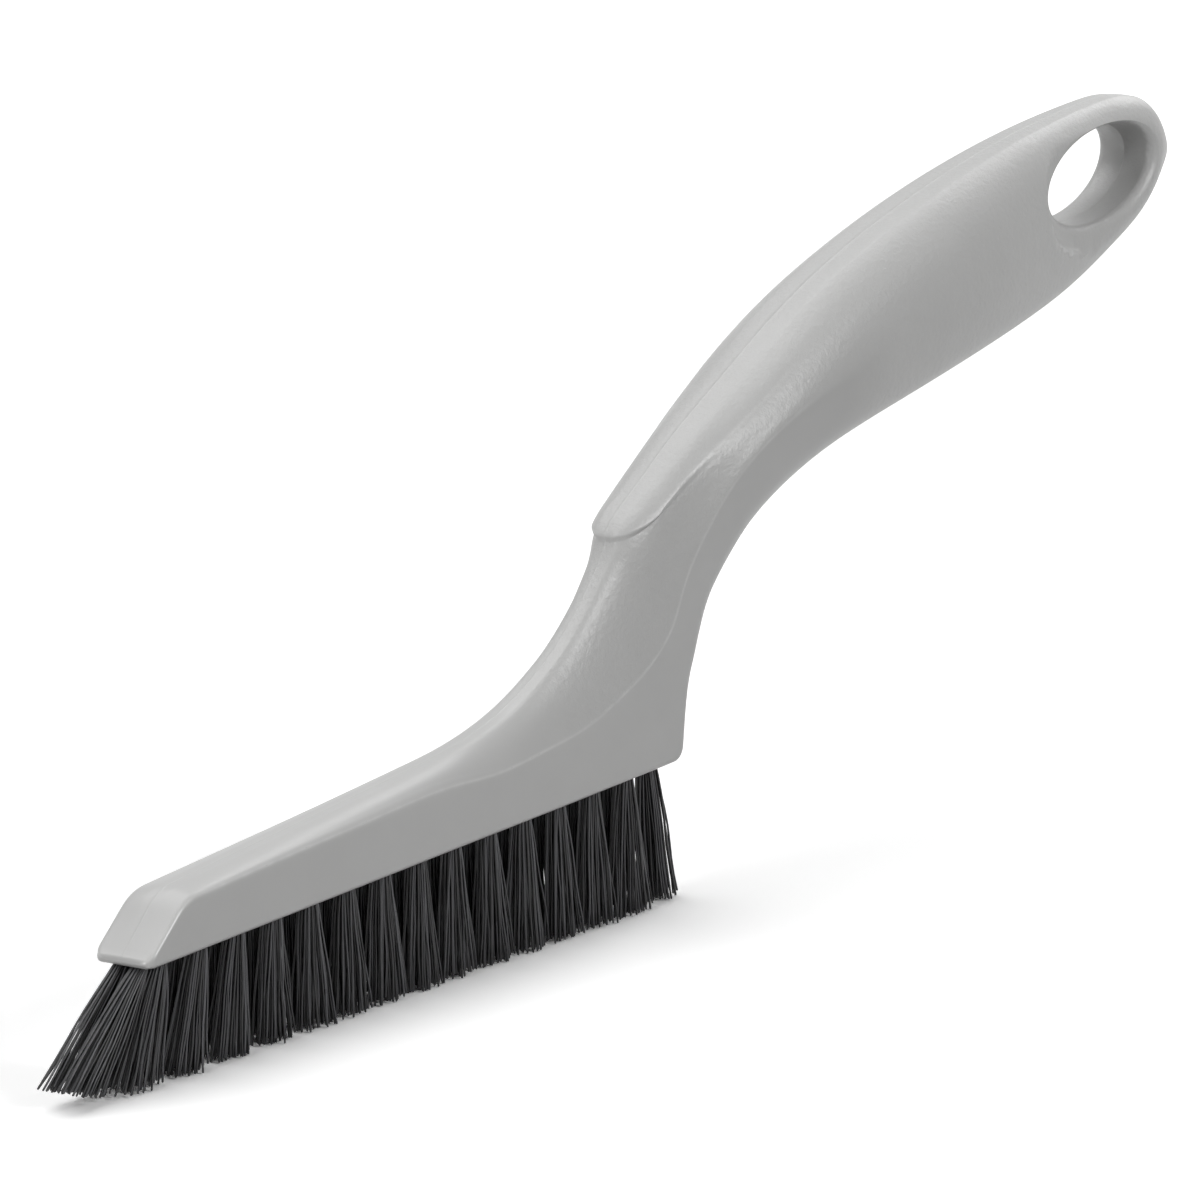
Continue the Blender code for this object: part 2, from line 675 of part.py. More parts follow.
def tuft_mesh(tuft):
    """Tuft of splayed strands, fused to the plug of folded filament that fills its hole."""
    radius = tuft["diameter"] / 2 - FIT_GAP
    inner = radius - STRAND_RADIUS * 1.2
    mirror = tuft["mirror"]
    roots = strand_roots(inner, tuft["turn"], mirror)
    frame = tuft_frame(tuft)
    rim = []
    for i in range(DRILL_SIDES):
        angle = 2 * math.pi * (i + 0.5) / DRILL_SIDES
        rim.append(Vector((radius * math.cos(angle), radius * math.sin(angle))))
    flat = list(rim)
    edges = [(i, (i + 1) % DRILL_SIDES) for i in range(DRILL_SIDES)]
    corners = []
    for root in roots:
        base = len(flat)
        for k in range(STRAND_SIDES):
            angle = 2 * math.pi * k / STRAND_SIDES
            offset = Vector((math.cos(angle), mirror * math.sin(angle))) * STRAND_RADIUS
            corners.append(offset)
            flat.append(Vector(root) + offset)
            edges.append((base + k, base + (k + 1) % STRAND_SIDES))
    found = delaunay_2d_cdt(flat, edges, [], 0, MM * 1e-4)
    points, faces = found[0], found[2]
    mesh = bpy.data.meshes.new(tuft["name"])
    form = bmesh.new()
    mouth = [form.verts.new(frame @ Vector((p.x, p.y, 0.0))) for p in points]
    for face in faces:
        owners = {(v - DRILL_SIDES) // STRAND_SIDES if v >= DRILL_SIDES else -1 for v in face}
        if len(owners) == 1 and -1 not in owners:
            continue
        form.faces.new([mouth[v] for v in face])
    top = tuft["depth"] - FIT_GAP
    crown = [form.verts.new(frame @ Vector((p.x, p.y, top))) for p in rim]
    for i in range(DRILL_SIDES):
        j = (i + 1) % DRILL_SIDES
        form.faces.new((mouth[i], mouth[j], crown[j], crown[i]))
    form.faces.new(crown)
    for number, root in enumerate(roots):
        tip, trimmed = strand_tip(tuft, root, inner, number)
        base = DRILL_SIDES + number * STRAND_SIDES
        ends = []
        for k in range(STRAND_SIDES):
            offset = corners[number * STRAND_SIDES + k]
            x = tip.x + offset.x
            z = trim_height(x) if trimmed else tip.z
            ends.append(form.verts.new((x, tip.y + offset.y, z)))
        for k in range(STRAND_SIDES):
            j = (k + 1) % STRAND_SIDES
            form.faces.new((mouth[base + k], mouth[base + j], ends[j], ends[k]))
        form.faces.new(ends)
    bmesh.ops.recalc_face_normals(form, faces=form.faces)
    form.to_mesh(mesh)
    form.free()
    return mesh


def make_handle(parent, material):
    """Head, neck and grip in one moulded piece, with the tuft holes and the hang hole."""
    section_at, places = rib_curve()
    lip_place = places[len(HEAD_RIB_SHARES) + PANEL_ROW] - PANEL_LEAD
    rings = nose_rings(section_at(0.0), lip_place)
    for place in rib_spacing(places, lip_place):
        rings.append(ring_points(section_at, place, lip_place))
    mesh = loft("handle", rings)
    mesh.shade_smooth()
    mesh.set_sharp_from_angle(angle=SMOOTH_ANGLE)
    handle = add_object("handle", mesh, parent, material)
    tufts = tuft_list()
    drills = as_cutter(add_object("tuft_hole_cutter", drill_mesh("tuft_hole_cutter", tufts), parent))
    pocket = (
        ANCHOR_LENGTH + 2 * FIT_GAP,
        ANCHOR_THICKNESS + 2 * FIT_GAP,
        ANCHOR_HEIGHT + 2 * FIT_GAP,
    )
    held = [tuft for tuft in tufts if tuft["anchor"]]
    pockets = as_cutter(add_object("anchor_pocket_cutter", box_mesh("pockets", held, pocket), parent))
    cut(handle, hang_cutter(parent))
    cut(handle, drills)
    cut(handle, pockets)
    return handle


def make_tufts(parent, filament, brass):
    """The tufts, and the anchor that each one is folded round."""
    window = (
        HOLE_DIAMETER * 2,
        ANCHOR_THICKNESS + FIT_GAP,
        ANCHOR_HEIGHT + FIT_GAP,
    )
    wire = (ANCHOR_LENGTH, ANCHOR_THICKNESS, ANCHOR_HEIGHT)
    for tuft in tuft_list():
        item = add_object(tuft["name"], tuft_mesh(tuft), parent, filament)
        if tuft["anchor"]:
            name = tuft["name"] + "_window"
            opening = as_cutter(add_object(name, box_mesh(name, [tuft], window), parent))
            cut(item, opening)
            name = tuft["anchor"]
            add_object(name, box_mesh(name, [tuft], wire), parent, brass)


def set_down(stand):
    """Level the trimmed tips at z = 0 and put the origin under the middle of the brush."""
    tilt = math.atan((TRIM_AT_HEEL - TRIM_AT_NOSE) / HEAD_LENGTH)
    turn = Matrix.Rotation(-tilt, 4, "Y")
    corners = []
    for item in stand.children:
        if not item.hide_render:
            corners += [turn @ vertex.co for vertex in item.data.vertices]
    low_x = min(point.x for point in corners)
    high_x = max(point.x for point in corners)
    low_z = min(point.z for point in corners)
    stand.rotation_euler = (0.0, -tilt, 0.0)
    stand.location = (-(low_x + high_x) / 2, 0.0, -low_z)


def main():
    clear_scene()
    stand = bpy.data.objects.new("brush", None)
    bpy.context.collection.objects.link(stand)
    plastic = make_material("grey_plastic", GREY_PLASTIC)
    filament = make_material("black_filament", BLACK_FILAMENT)
    brass = make_material("anchor_wire", BRASS_WIRE)
    make_handle(stand, plastic)
    make_tufts(stand, filament, brass)
    set_down(stand)
    bpy.context.view_layer.update()


main()
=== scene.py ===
"""Window track brush: fine surfaces, materials, light and camera round the fixed frame.

The handle is lofted again with finer ribs, a flat land round the hang hole and a parting line.
Each tuft becomes a fan of thin, slightly wavy filaments that start inside its hole.
"""

import math

import bmesh
import bpy
import numpy as np
from mathutils import Matrix, Vector
from mathutils.kdtree import KDTree


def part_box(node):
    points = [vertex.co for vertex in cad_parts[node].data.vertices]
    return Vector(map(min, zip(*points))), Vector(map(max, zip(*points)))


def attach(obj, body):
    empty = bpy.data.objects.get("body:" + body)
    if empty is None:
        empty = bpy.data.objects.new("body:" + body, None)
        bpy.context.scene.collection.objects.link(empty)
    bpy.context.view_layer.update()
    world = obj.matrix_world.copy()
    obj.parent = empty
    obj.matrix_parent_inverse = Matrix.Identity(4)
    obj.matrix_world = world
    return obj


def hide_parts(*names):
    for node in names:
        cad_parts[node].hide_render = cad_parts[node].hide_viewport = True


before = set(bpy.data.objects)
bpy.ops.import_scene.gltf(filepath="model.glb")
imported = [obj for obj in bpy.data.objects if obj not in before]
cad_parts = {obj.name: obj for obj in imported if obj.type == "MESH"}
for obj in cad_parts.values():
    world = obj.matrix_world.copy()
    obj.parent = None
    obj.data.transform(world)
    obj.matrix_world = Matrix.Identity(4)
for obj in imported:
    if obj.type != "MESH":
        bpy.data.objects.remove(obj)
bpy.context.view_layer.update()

MM = 0.001

# Head
HEAD_LENGTH = 112.0 * MM
HEAD_WIDTH = 9.5 * MM
HEAD_HEIGHT = 8.1 * MM
HEAD_EDGE = 0.8 * MM
CREASE_EDGE = 0.6 * MM
HEEL_RADIUS = 1.6 * MM
HEEL_SET_BACK = 0.6 * MM
NOSE_SLOPE = math.radians(39.0)
NOSE_LIP_RADIUS = 0.7 * MM
NOSE_LIP_CUT = math.radians(25.0)
NOSE_LIP_TURN = math.radians(75.0)
NOSE_TOP_EASE = 2.4 * MM
NOSE_SIDE_RADIUS = 1.6 * MM
NOSE_SIDE_SHARE = 0.9
NOSE_CROWN_SHARE = 0.05

# Neck and grip
HANDLE_REACH = 123.0 * MM
HANDLE_RISE = 70.0 * MM
GRIP_WIDTH = 21.0 * MM
PANEL_STEP = 0.7 * MM
PANEL_STEP_RUN = 1.1 * MM
PANEL_EDGE_SHARE = 0.75
PANEL_RIM_POINTS = 2.5
PANEL_RIM_END = 34.0 * MM
PANEL_LEAD = 2.3 * MM
PANEL_BOW = 10.0 * MM
PANEL_BEFORE = 22.0 * MM
PANEL_AFTER = 36.0 * MM
PANEL_FADE = 40.0 * MM
PANEL_SIDE_FADE = 15.0 * MM
PANEL_EDGE_POINT = 2
PARTING_HALF = 0.09 * MM
PARTING_RISE = 0.03 * MM
PARTING_SHOULDER = 0.6
PARTING_POINTS = 3

# Hang hole
HANG_LENGTH = 25.2 * MM
HANG_HEIGHT = 12.8 * MM
HANG_TILT = math.radians(6.0)
HANG_COS = math.cos(HANG_TILT)
HANG_SIN = math.sin(HANG_TILT)
HANG_PLACE_SHARE = (0.828, 0.857)
HANG_RIM_HALF = 5.0 * MM
HANG_RIM_RADIUS = 1.7 * MM
HANG_RIM_LAND = 1.3 * MM
HANG_RIM_RISE = 0.16
HANG_RIM_BEND = 0.9 / MM
HANG_RIM_BLEND = 0.7 * MM
HANG_DRAFT = 0.05 * MM
HANG_PARTING_RISE = 0.06 * MM
HANG_INSIDE_SHARE = 0.99
HANG_SIDES = 128
HANG_RIM_STEPS = 9
HANG_RIM_END = math.radians(82.0)
HANG_RIM_OVERRUN = 0.2 * MM

# Bristles
ROW_SPACING = 3.7 * MM
ROW_TUFTS = 14
FIRST_TUFT = 5.3 * MM
LAST_TUFT_INSET = 10.4 * MM
HEEL_TUFT_INSET = 3.0 * MM
NOSE_TUFT_PLACE = 2.3 * MM
NOSE_TUFT_SPACING = 2.9 * MM
HOLE_DIAMETER = 2.8 * MM
NOSE_HOLE_DIAMETER = 2.1 * MM
HOLE_DEPTH = 5.2 * MM
NOSE_HOLE_DEPTH = 3.3 * MM
FIT_GAP = 0.25 * MM
TRIM_AT_NOSE = 15.8 * MM
TRIM_AT_HEEL = 19.4 * MM
NOSE_TRIM_LIFT = 0.0135 / MM
ROW_LEANS = tuple(math.radians(a) for a in (20.0, 13.0, 7.0, 3.0))
NOSE_LEAN = math.radians(33.0)
NOSE_TIP_LEAN = math.radians(38.0)
HEEL_LEAN = math.radians(-3.0)
FILAMENT_RADIUS = 0.15 * MM
FILAMENT_PITCH = 0.285 * MM
NOSE_FILAMENT_PITCH = 0.24 * MM
FILAMENT_SIDES = 6
FILAMENT_RINGS = 9
FILAMENT_WAVE = 0.16 * MM
FILAMENT_WAVE_SIZES = (0.3, 1.0)
FILAMENT_WAVE_TURNS = (0.6, 1.7)
FILAMENT_THICKNESS = (0.88, 1.06)
FILAMENT_TIP_WIDTH = 0.55
FILAMENT_TIP_LENGTH = 0.5
FILAMENT_RAGGED = 0.9 * MM
FILAMENT_FLARE = 0.35
NARROW_FLARE = 2.5
HEEL_FLARE = 3
FILAMENT_REACH_IN = 2.2 * MM
TIP_JITTER = 0.28 * MM
STRAY_SHARE = 0.07
STRAY_REACH = 0.35
FIRST_SEED = 100

# How far the tips of a tuft spread along and across the head, as shares of half the distance
# between tufts and between rows
NOSE_SPREAD = 1.42
FIRST_SPREAD = 1.2
LAST_SPREAD = 1.3
ROW_SPREAD_ACROSS = 0.9
HEEL_SPREAD = (0.8, 1.2)
NOSE_SPREAD_AHEAD = 0.92

# Anchors
ANCHOR_LENGTH = 3.2 * MM
ANCHOR_HEIGHT = 1.1 * MM
ANCHOR_THICKNESS = 0.35 * MM

# Head ribs stand upright. A row gives the place along HEAD_LENGTH, then the height at the middle
# and at the side edge as shares of HEAD_HEIGHT.
HEAD_RIB_SHARES = (
    (0.125, 1.04, 0.93),
    (0.27, 1.155, 0.995),
    (0.43, 1.285, 1.055),
    (0.555, 1.4, 1.07),
)

# Neck ribs fan round the heel, and grip ribs lie across the grip. A row gives the top and the
# bottom point as shares of HANDLE_REACH past the heel and of HANDLE_RISE.
RIB_SHARES = (
    (-0.3356, 0.1769, -0.3, 0.0),
    (-0.2661, 0.2061, -0.211, 0.0),
    (-0.2033, 0.254, -0.122, 0.0),
    (-0.1578, 0.3046, -0.049, 0.0),
    (-0.1295, 0.3452, -0.013, 0.0),
    (-0.1058, 0.385, 0.0069, 0.1056),
    (-0.0848, 0.4273, 0.0247, 0.1863),
    (-0.0669, 0.4702, 0.0443, 0.26),
    (-0.0181, 0.5273, 0.0765, 0.3322),
    (0.0449, 0.5946, 0.1245, 0.4024),
    (0.1372, 0.68, 0.2121, 0.4711),
    (0.254, 0.781, 0.3075, 0.5107),
    (0.3901, 0.8649, 0.4306, 0.5404),
    (0.5202, 0.9207, 0.5532, 0.5683),
    (0.6501, 0.9619, 0.6759, 0.5973),
    (0.7641, 0.9843, 0.7808, 0.6335),
    (0.858, 0.993, 0.8703, 0.6872),
    (0.9302, 0.9815, 0.9427, 0.7608),
    (0.9666, 0.9409, 0.9707, 0.8061),
    (0.9829, 0.889, 0.9839, 0.831),
    (0.9889, 0.871, 0.9889, 0.849),
)

# Control ribs at the heel and at the panel's lip, and the one from which on the mesh is finer
HEEL_RIB = len(HEAD_RIB_SHARES) + 4
PANEL_RIB = len(HEAD_RIB_SHARES) + 7
HANG_RIB = len(HEAD_RIB_SHARES) + 14

# How far the upper half of each neck and grip rib swells into an arch over the crease, from 0 to 1
ARCH_SHARES = (0.0, 0.1, 0.2, 0.3, 0.3, 0.2, 0.1) + (0.0,) * 14
ARCH_POWER = 2.0
ARCH_DROP = 0.5

# Section of each neck and grip rib. A row gives how far the width has grown from HEAD_WIDTH to
# GRIP_WIDTH, the lower corner's width and height, the crease's height, the ridge's width and
# height, and the roundness of those three corners. Widths are shares of the rib's half width and
# heights are shares of its length. Roundness runs from an edge (0) to a full curve (1).
SECTION_SHARES = (
    (0.0, 1.0, 0.0, 0.65, 0.66, 0.96, 0.0, 0.0, 0.5),
    (0.0, 1.0, 0.0, 0.6, 0.7, 0.96, 0.0, 0.0, 0.6),
    (0.0, 1.0, 0.0, 0.55, 0.72, 0.96, 0.02, 0.0, 0.85),
    (0.0, 1.0, 0.0, 0.56, 0.72, 0.965, 0.04, 0.0, 0.95),
    (0.0, 1.0, 0.0, 0.555, 0.71, 0.97, 0.06, 0.0, 1.0),
    (0.02, 1.0, 0.0, 0.435, 0.71, 0.965, 0.08, 0.0, 1.0),
    (0.04, 0.99, 0.0, 0.36, 0.73, 0.96, 0.12, 0.0, 0.85),
    (0.1, 0.97, 0.0, 0.37, 0.77, 0.96, 0.18, 0.0, 0.5),
    (0.22, 0.92, 0.0, 0.45, 0.76, 0.95, 0.26, 0.0, 0.2),
    (0.48, 0.84, 0.01, 0.58, 0.73, 0.93, 0.38, 0.02, 0.18),
    (0.78, 0.74, 0.02, 0.64, 0.72, 0.92, 0.55, 0.08, 0.22),
    (0.96, 0.7, 0.03, 0.57, 0.72, 0.915, 0.7, 0.3, 0.3),
    (1.0, 0.68, 0.04, 0.48, 0.72, 0.915, 0.85, 0.65, 0.45),
    (0.95, 0.68, 0.05, 0.47, 0.72, 0.92, 0.95, 0.9, 0.6),
    (0.72, 0.68, 0.06, 0.48, 0.71, 0.93, 1.0, 1.0, 0.75),
    (0.47, 0.68, 0.07, 0.5, 0.7, 0.94, 1.0, 1.0, 0.9),
    (0.3, 0.7, 0.08, 0.5, 0.7, 0.94, 1.0, 1.0, 1.0),
    (0.16, 0.72, 0.08, 0.5, 0.7, 0.93, 1.0, 1.0, 1.0),
    (-0.08, 0.74, 0.1, 0.5, 0.72, 0.91, 1.0, 1.0, 1.0),
    (-0.42, 0.76, 0.12, 0.5, 0.74, 0.89, 1.0, 1.0, 1.0),
    (-0.68, 0.8, 0.12, 0.5, 0.8, 0.88, 1.0, 1.0, 1.0),
)
HEAD_RIDGE_SHARES = (0.62, 0.975)
HEAD_ROUND_SHARES = (0.0, 0.06, 0.4)

# Columns of a rib's row: top and bottom point, half width, lower corner's width and height,
# crease's height, ridge's width and height, roundness of the three corners, swell of the arch
TOP = slice(0, 2)
BOTTOM = slice(2, 4)
WIDTH = 4
LOWER = slice(5, 7)
CREASE = 7
RIDGE = slice(8, 10)
ROUND = slice(10, 13)
ARCH = 13

FULL_CUT_SHARE = 1.05
CROWN_FLAT_SHARE = 0.4
CORNER_LIMIT_SHARE = 0.47
RIDGE_LIMIT_SHARE = 0.9
FACET_LIMIT_SHARE = 0.85
RIDGE_EDGE_SHARE = 0.2
CREASE_END_SHARE = 0.64
CREASE_FADE = 40.0 * MM
GRAIN_START = 66.0 * MM
GRAIN_FADE = 14.0 * MM
GRAIN_EDGE_POINTS = 3

# Fineness of the surface
RIB_GAP = 0.9 * MM
HANG_RIB_GAP = 0.35 * MM
LIP_RIB_GAP = 0.1 * MM
HEEL_ARC_STEPS = 12
CREASE_STEPS = 1600
NOSE_LINE_STEPS = 14
NOSE_ARC_STEPS = 10
LIP_STEPS = 8
UNDERSIDE_STEPS = 6
CORNER_POINTS = 9
SIDE_STEPS = 18
RIDGE_POINTS = 14
CROWN_POINTS = 10
DRILL_SIDES = 28
CREASE_POINT = (
    PARTING_POINTS + (UNDERSIDE_STEPS - 1) + CORNER_POINTS + (SIDE_STEPS - 1) + CORNER_POINTS // 2
)
OFFSET_HALVINGS = 48
MERGE_GAP = 0.001 * MM
CUTTER_OVERRUN = 1.0 * MM
SMOOTH_ANGLE = math.radians(38.0)
EDGE_STEP = 0.06 * MM
EDGE_REACH = 0.22 * MM

# Camera and light
CAMERA_PLACE = (-879.9 * MM, -766.3 * MM, 339.0 * MM)
CAMERA_TURN = math.radians(-52.0)
CAMERA_RISE = math.radians(14.2)
CAMERA_ROLL = math.radians(2.9)
CAMERA_LENS = 291.0
CAMERA_SENSOR = 36.0
CAMERA_CLIP = (0.05, 50.0)

# Lamps: name, turn and rise of the direction they come from, width seen from the brush (degrees),
# and share of full light
LAMPS = (
    ("left", -92.0, 12.0, 32.0, 0.44),
    ("front", 5.0, 28.0, 22.0, 0.41),
    ("right", 98.0, 32.0, 30.0, 0.21),
    ("top", 175.0, 71.0, 62.0, 0.48),
)

# Floor and surroundings: their brightness for the light on the object, and as the camera sees them
FLOOR_RADIUS = 6.0
FLOOR_SIDES = 96
FLOOR_LIGHT = 0.26
FLOOR_SEEN = 1.4
SURROUND_LIGHT = 0.02
SURROUND_SEEN = 1.0

PLASTIC_COLOR = (0.5, 0.5, 0.495)
FILAMENT_COLOR = (0.018, 0.018, 0.0195)
BRASS_COLOR = (0.72, 0.55, 0.26)
WHITE = (1.0, 1.0, 1.0)

# Roughness of the materials, and sizes of the features in the plastic
PLASTIC_ROUGH = (0.32, 0.35)
FILAMENT_ROUGH = (0.46, 0.3)
BRASS_ROUGH = (0.24, 0.46)
BROAD_SIZE = 22.0 * MM
CLOUD_SIZE = 4.0 * MM
FLECK_SIZE = 0.35 * MM
GRAIN_SIZE = 0.28 * MM
CRINKLE_SIZE = 0.75 * MM
# Size of the patches in the painted edge highlight
HIGHLIGHT_PATCH_SIZE = 2.2 * MM
GRAIN_DEPTH = 0.08 * MM
GRAIN_LEAST = 0.03

# Where the painted shade on the ungrained surfaces sets in along the brush, and how wide and where the
# parting line shows
PAINTED_SHADE_RUN = (10.0 * MM, 35.0 * MM)
PARTING_FADE = (0.06 * MM, 0.14 * MM)
PARTING_BEGINS = (-20.0 * MM, 0.0)

FINE = 1.0


def spline(knots, values):
    """Natural cubic curve through rows of values, as a function of place."""
    gaps = np.diff(knots)
    slopes = np.diff(values, axis=0) / gaps[:, None]
    count = len(knots)
    system = np.eye(count)
    right = np.zeros_like(values)
    for i in range(1, count - 1):
        system[i, i - 1:i + 2] = (gaps[i - 1], 2 * (gaps[i - 1] + gaps[i]), gaps[i])
        right[i] = 6 * (slopes[i] - slopes[i - 1])
    bends = np.linalg.solve(system, right)

    def at(place):
        cell = int(np.clip(np.searchsorted(knots, place, side="right") - 1, 0, count - 2))
        before = place - knots[cell]
        after = knots[cell + 1] - place
        gap = gaps[cell]
        return (
            bends[cell] * after**3 / (6 * gap)
            + bends[cell + 1] * before**3 / (6 * gap)
            + (values[cell] / gap - bends[cell] * gap / 6) * after
            + (values[cell + 1] / gap - bends[cell + 1] * gap / 6) * before
        )

    return at


def bend(start, corner, end, t):
    """Point of a quadratic curve."""
    return start * (1 - t) ** 2 + corner * 2 * t * (1 - t) + end * t**2


def rib_table():
    """Control ribs as rows."""
    half_head = HEAD_WIDTH / 2
    rows = []
    for along, top, side in HEAD_RIB_SHARES:
        x = HEAD_LENGTH * along
        rows.append((
            x, HEAD_HEIGHT * top, x, 0.0, half_head, 1.0, 0.0, side / top,
            *HEAD_RIDGE_SHARES, *HEAD_ROUND_SHARES, 0.0,
        ))
    for rib, section, arch in zip(RIB_SHARES, SECTION_SHARES, ARCH_SHARES):
        top_x = HEAD_LENGTH + HANDLE_REACH * rib[0]
        bottom_x = HEAD_LENGTH + HANDLE_REACH * rib[2]
        width = half_head + (GRIP_WIDTH / 2 - half_head) * section[0]
        rows.append(
            (top_x, HANDLE_RISE * rib[1], bottom_x, HANDLE_RISE * rib[3], width) + section[1:] + (arch,)
        )
    return np.array(rows)


def rib_curve():
    """Function that gives the rib at any place, and the places of the control ribs."""
    rows = rib_table()
    tops = rows[:, TOP]
    bottoms = rows[:, BOTTOM]
    middles = (tops + bottoms) / 2
    steps = np.linalg.norm(np.diff(middles, axis=0), axis=1)
    places = np.concatenate(([0.0], np.cumsum(steps)))
    heel_place = places[HEEL_RIB]
    corner = np.array([HEAD_LENGTH - HEEL_SET_BACK, 0.0])
    rear = bottoms[HEEL_RIB + 1] - corner
    start = corner - np.array([HEEL_RADIUS, 0.0])
    end = corner + rear / np.linalg.norm(rear) * HEEL_RADIUS
    run = HEEL_RADIUS * 2
    rear_places = np.concatenate(([heel_place + run], places[HEEL_RIB + 1:]))
    rear_line = spline(rear_places, np.concatenate(([end], bottoms[HEEL_RIB + 1:])))
    whole = spline(places, rows)
    crease_line = spline(places, bottoms + (tops - bottoms) * rows[:, CREASE, None])
    crease_places = np.linspace(0.0, places[-1], CREASE_STEPS)
    crease_track = np.array([crease_line(place) for place in crease_places])

    def crease_share(values):
        """Share of a rib at which it meets the crease's own smooth line."""
        bottom = values[BOTTOM]
        up = values[TOP] - bottom
        away = crease_track - bottom
        side = away[:, 0] * up[1] - away[:, 1] * up[0]
        share = away @ up / (up @ up)
        within = (share > 0) & (share < 1)
        crossed = np.flatnonzero((side[:-1] * side[1:] <= 0) & within[:-1])
        if not len(crossed):
            return values[CREASE]
        best = min(crossed, key=lambda i: abs(share[i] - values[CREASE]))
        part = side[best] / (side[best] - side[best + 1]) if side[best] != side[best + 1] else 0.0
        return share[best] + (share[best + 1] - share[best]) * part

    def section_at(place):
        """Row of the rib at a place, with its bottom point led round the heel's rounded corner."""
        values = whole(place)
        if place < heel_place:
            values[BOTTOM] = (min(values[BOTTOM][0], start[0]), 0.0)
        elif place < rear_places[0]:
            values[BOTTOM] = bend(start, corner, end, (place - heel_place) / run)
        else:
            values[BOTTOM] = rear_line(place)
        if place <= heel_place:
            values[WIDTH] = HEAD_WIDTH / 2
        values[CREASE] = crease_share(values)
        return values

    return section_at, places


def rib_spacing(places, lip_place):
    """Places of all ribs, closer together at the heel, the panel's lip and the hang hole."""
    heel = places[HEEL_RIB]
    lip = lip_place + PANEL_BOW
    kept = [heel + HEEL_RADIUS * 2 * i / HEEL_ARC_STEPS for i in range(HEEL_ARC_STEPS + 1)]
    count = round(PANEL_STEP_RUN * 2 / (LIP_RIB_GAP / FINE))
    kept += [lip - PANEL_STEP_RUN / 2 + PANEL_STEP_RUN * 2 * i / count for i in range(count + 1)]
    for row, (low, high) in enumerate(zip(places, places[1:])):
        gap = (HANG_RIB_GAP if row >= HANG_RIB else RIB_GAP) / FINE
        steps = max(1, round((high - low) / gap))
        for i in range(steps):
            place = low + (high - low) * i / steps
            if all(abs(place - other) > gap / 3 for other in kept):
                kept.append(place)
    kept.append(places[-1])
    return sorted(kept)


def rib_length(values):
    """Distance from a rib's bottom point to its top point."""
    return math.hypot(*(values[TOP] - values[BOTTOM]))


def corner_cuts(values):
    """Length cut back from the three corners of a section before they are rounded."""
    width = values[WIDTH]
    full = (width * width * rib_length(values)) ** (1 / 3) * FULL_CUT_SHARE
    edges = (HEAD_EDGE, CREASE_EDGE, CREASE_EDGE)
    return [edge + (full - edge) * share for edge, share in zip(edges, values[ROUND])]


def curve_points(start, corner, end, count):
    """Points of a quadratic curve, both ends included."""
    return [bend(start, corner, end, i / (count - 1)) for i in range(count)]


def line_points(start, end, steps):
    """Points between two others, neither end included."""
    return [start + (end - start) * i / steps for i in range(1, steps)]


def round_corner(before, corner, after, cut, limit_share, count, back_share=CORNER_LIMIT_SHARE):
    """Points of a curve that replaces a corner, with each end cut back along its edge."""
    ends = []
    for other, most in ((before, back_share), (after, limit_share)):
        away = other - corner
        length = np.linalg.norm(away)
        ends.append(corner + away / length * min(cut, length * most))
    return curve_points(ends[0], corner, ends[1], count)


def swell_arch(points, crease, length, share):
    """Move the points over the crease towards one even arch that stands on it."""
    rise = length - crease[1]
    drop = rise * ARCH_DROP
    half = crease[0] / (1 - (drop / (rise + drop)) ** ARCH_POWER) ** (1 / ARCH_POWER)
    across = points[:, 0] / half
    over = (points[:, 1] - crease[1] + drop) / (rise + drop)
    reach = (np.abs(across) ** ARCH_POWER + np.abs(over) ** ARCH_POWER) ** (1 / ARCH_POWER)
    reach = np.maximum(reach, 1.0)
    moved = np.stack([across / reach * half, over / reach * (rise + drop) + crease[1] - drop], axis=1)
    upper = points[:, 1] > crease[1]
    return np.where(upper[:, None], points + (moved - points) * share, points)


def half_section(values):
    """Right half of a section as points (across, up), and the number of the ridge's edge point."""
    length = rib_length(values)
    size = np.array([values[WIDTH], length])
    bottom = np.array([0.0, 0.0])
    lower = size * values[LOWER]
    crease = size * (1.0, values[CREASE])
    ridge = size * values[RIDGE]
    flat = np.array([ridge[0] * CROWN_FLAT_SHARE, length])
    top = np.array([0.0, length])
    cuts = corner_cuts(values)
    first = round_corner(bottom, lower, crease, cuts[0], CORNER_LIMIT_SHARE, CORNER_POINTS)
    second = round_corner(lower, crease, ridge, cuts[1], CORNER_LIMIT_SHARE, CORNER_POINTS)
    used = np.linalg.norm(second[-1] - crease) / np.linalg.norm(ridge - crease)
    spare = max(CORNER_LIMIT_SHARE, FACET_LIMIT_SHARE - used)
    third = round_corner(crease, ridge, flat, cuts[2], RIDGE_LIMIT_SHARE, RIDGE_POINTS, spare)
    line = np.array([min(PARTING_HALF, flat[0] / CROWN_POINTS), 0.0])
    rise = np.array([0.0, PARTING_RISE])
    points = [bottom - rise, line / 2 - rise * PARTING_SHOULDER, line]
    points += line_points(line, first[0], UNDERSIDE_STEPS)
    points += first
    points += line_points(first[-1], second[0], SIDE_STEPS)
    points += second
    points += line_points(second[-1], third[0], SIDE_STEPS)
    edge = len(points) + round((RIDGE_POINTS - 1) * RIDGE_EDGE_SHARE)
    points += third
    points += curve_points(third[-1], flat, top, CROWN_POINTS)[1:-1]
    points += [top + line, top + line / 2 + rise * PARTING_SHOULDER, top + rise]
    points = np.array(points)
    arch = min(max(values[ARCH], 0.0), 1.0)
    if arch > 0.0:
        points = swell_arch(points, crease, length, arch)
    return points, edge


def ease(value):
    """Smooth step from 0 to 1."""
    value = min(max(value, 0.0), 1.0)
    return value * value * (3 - 2 * value)


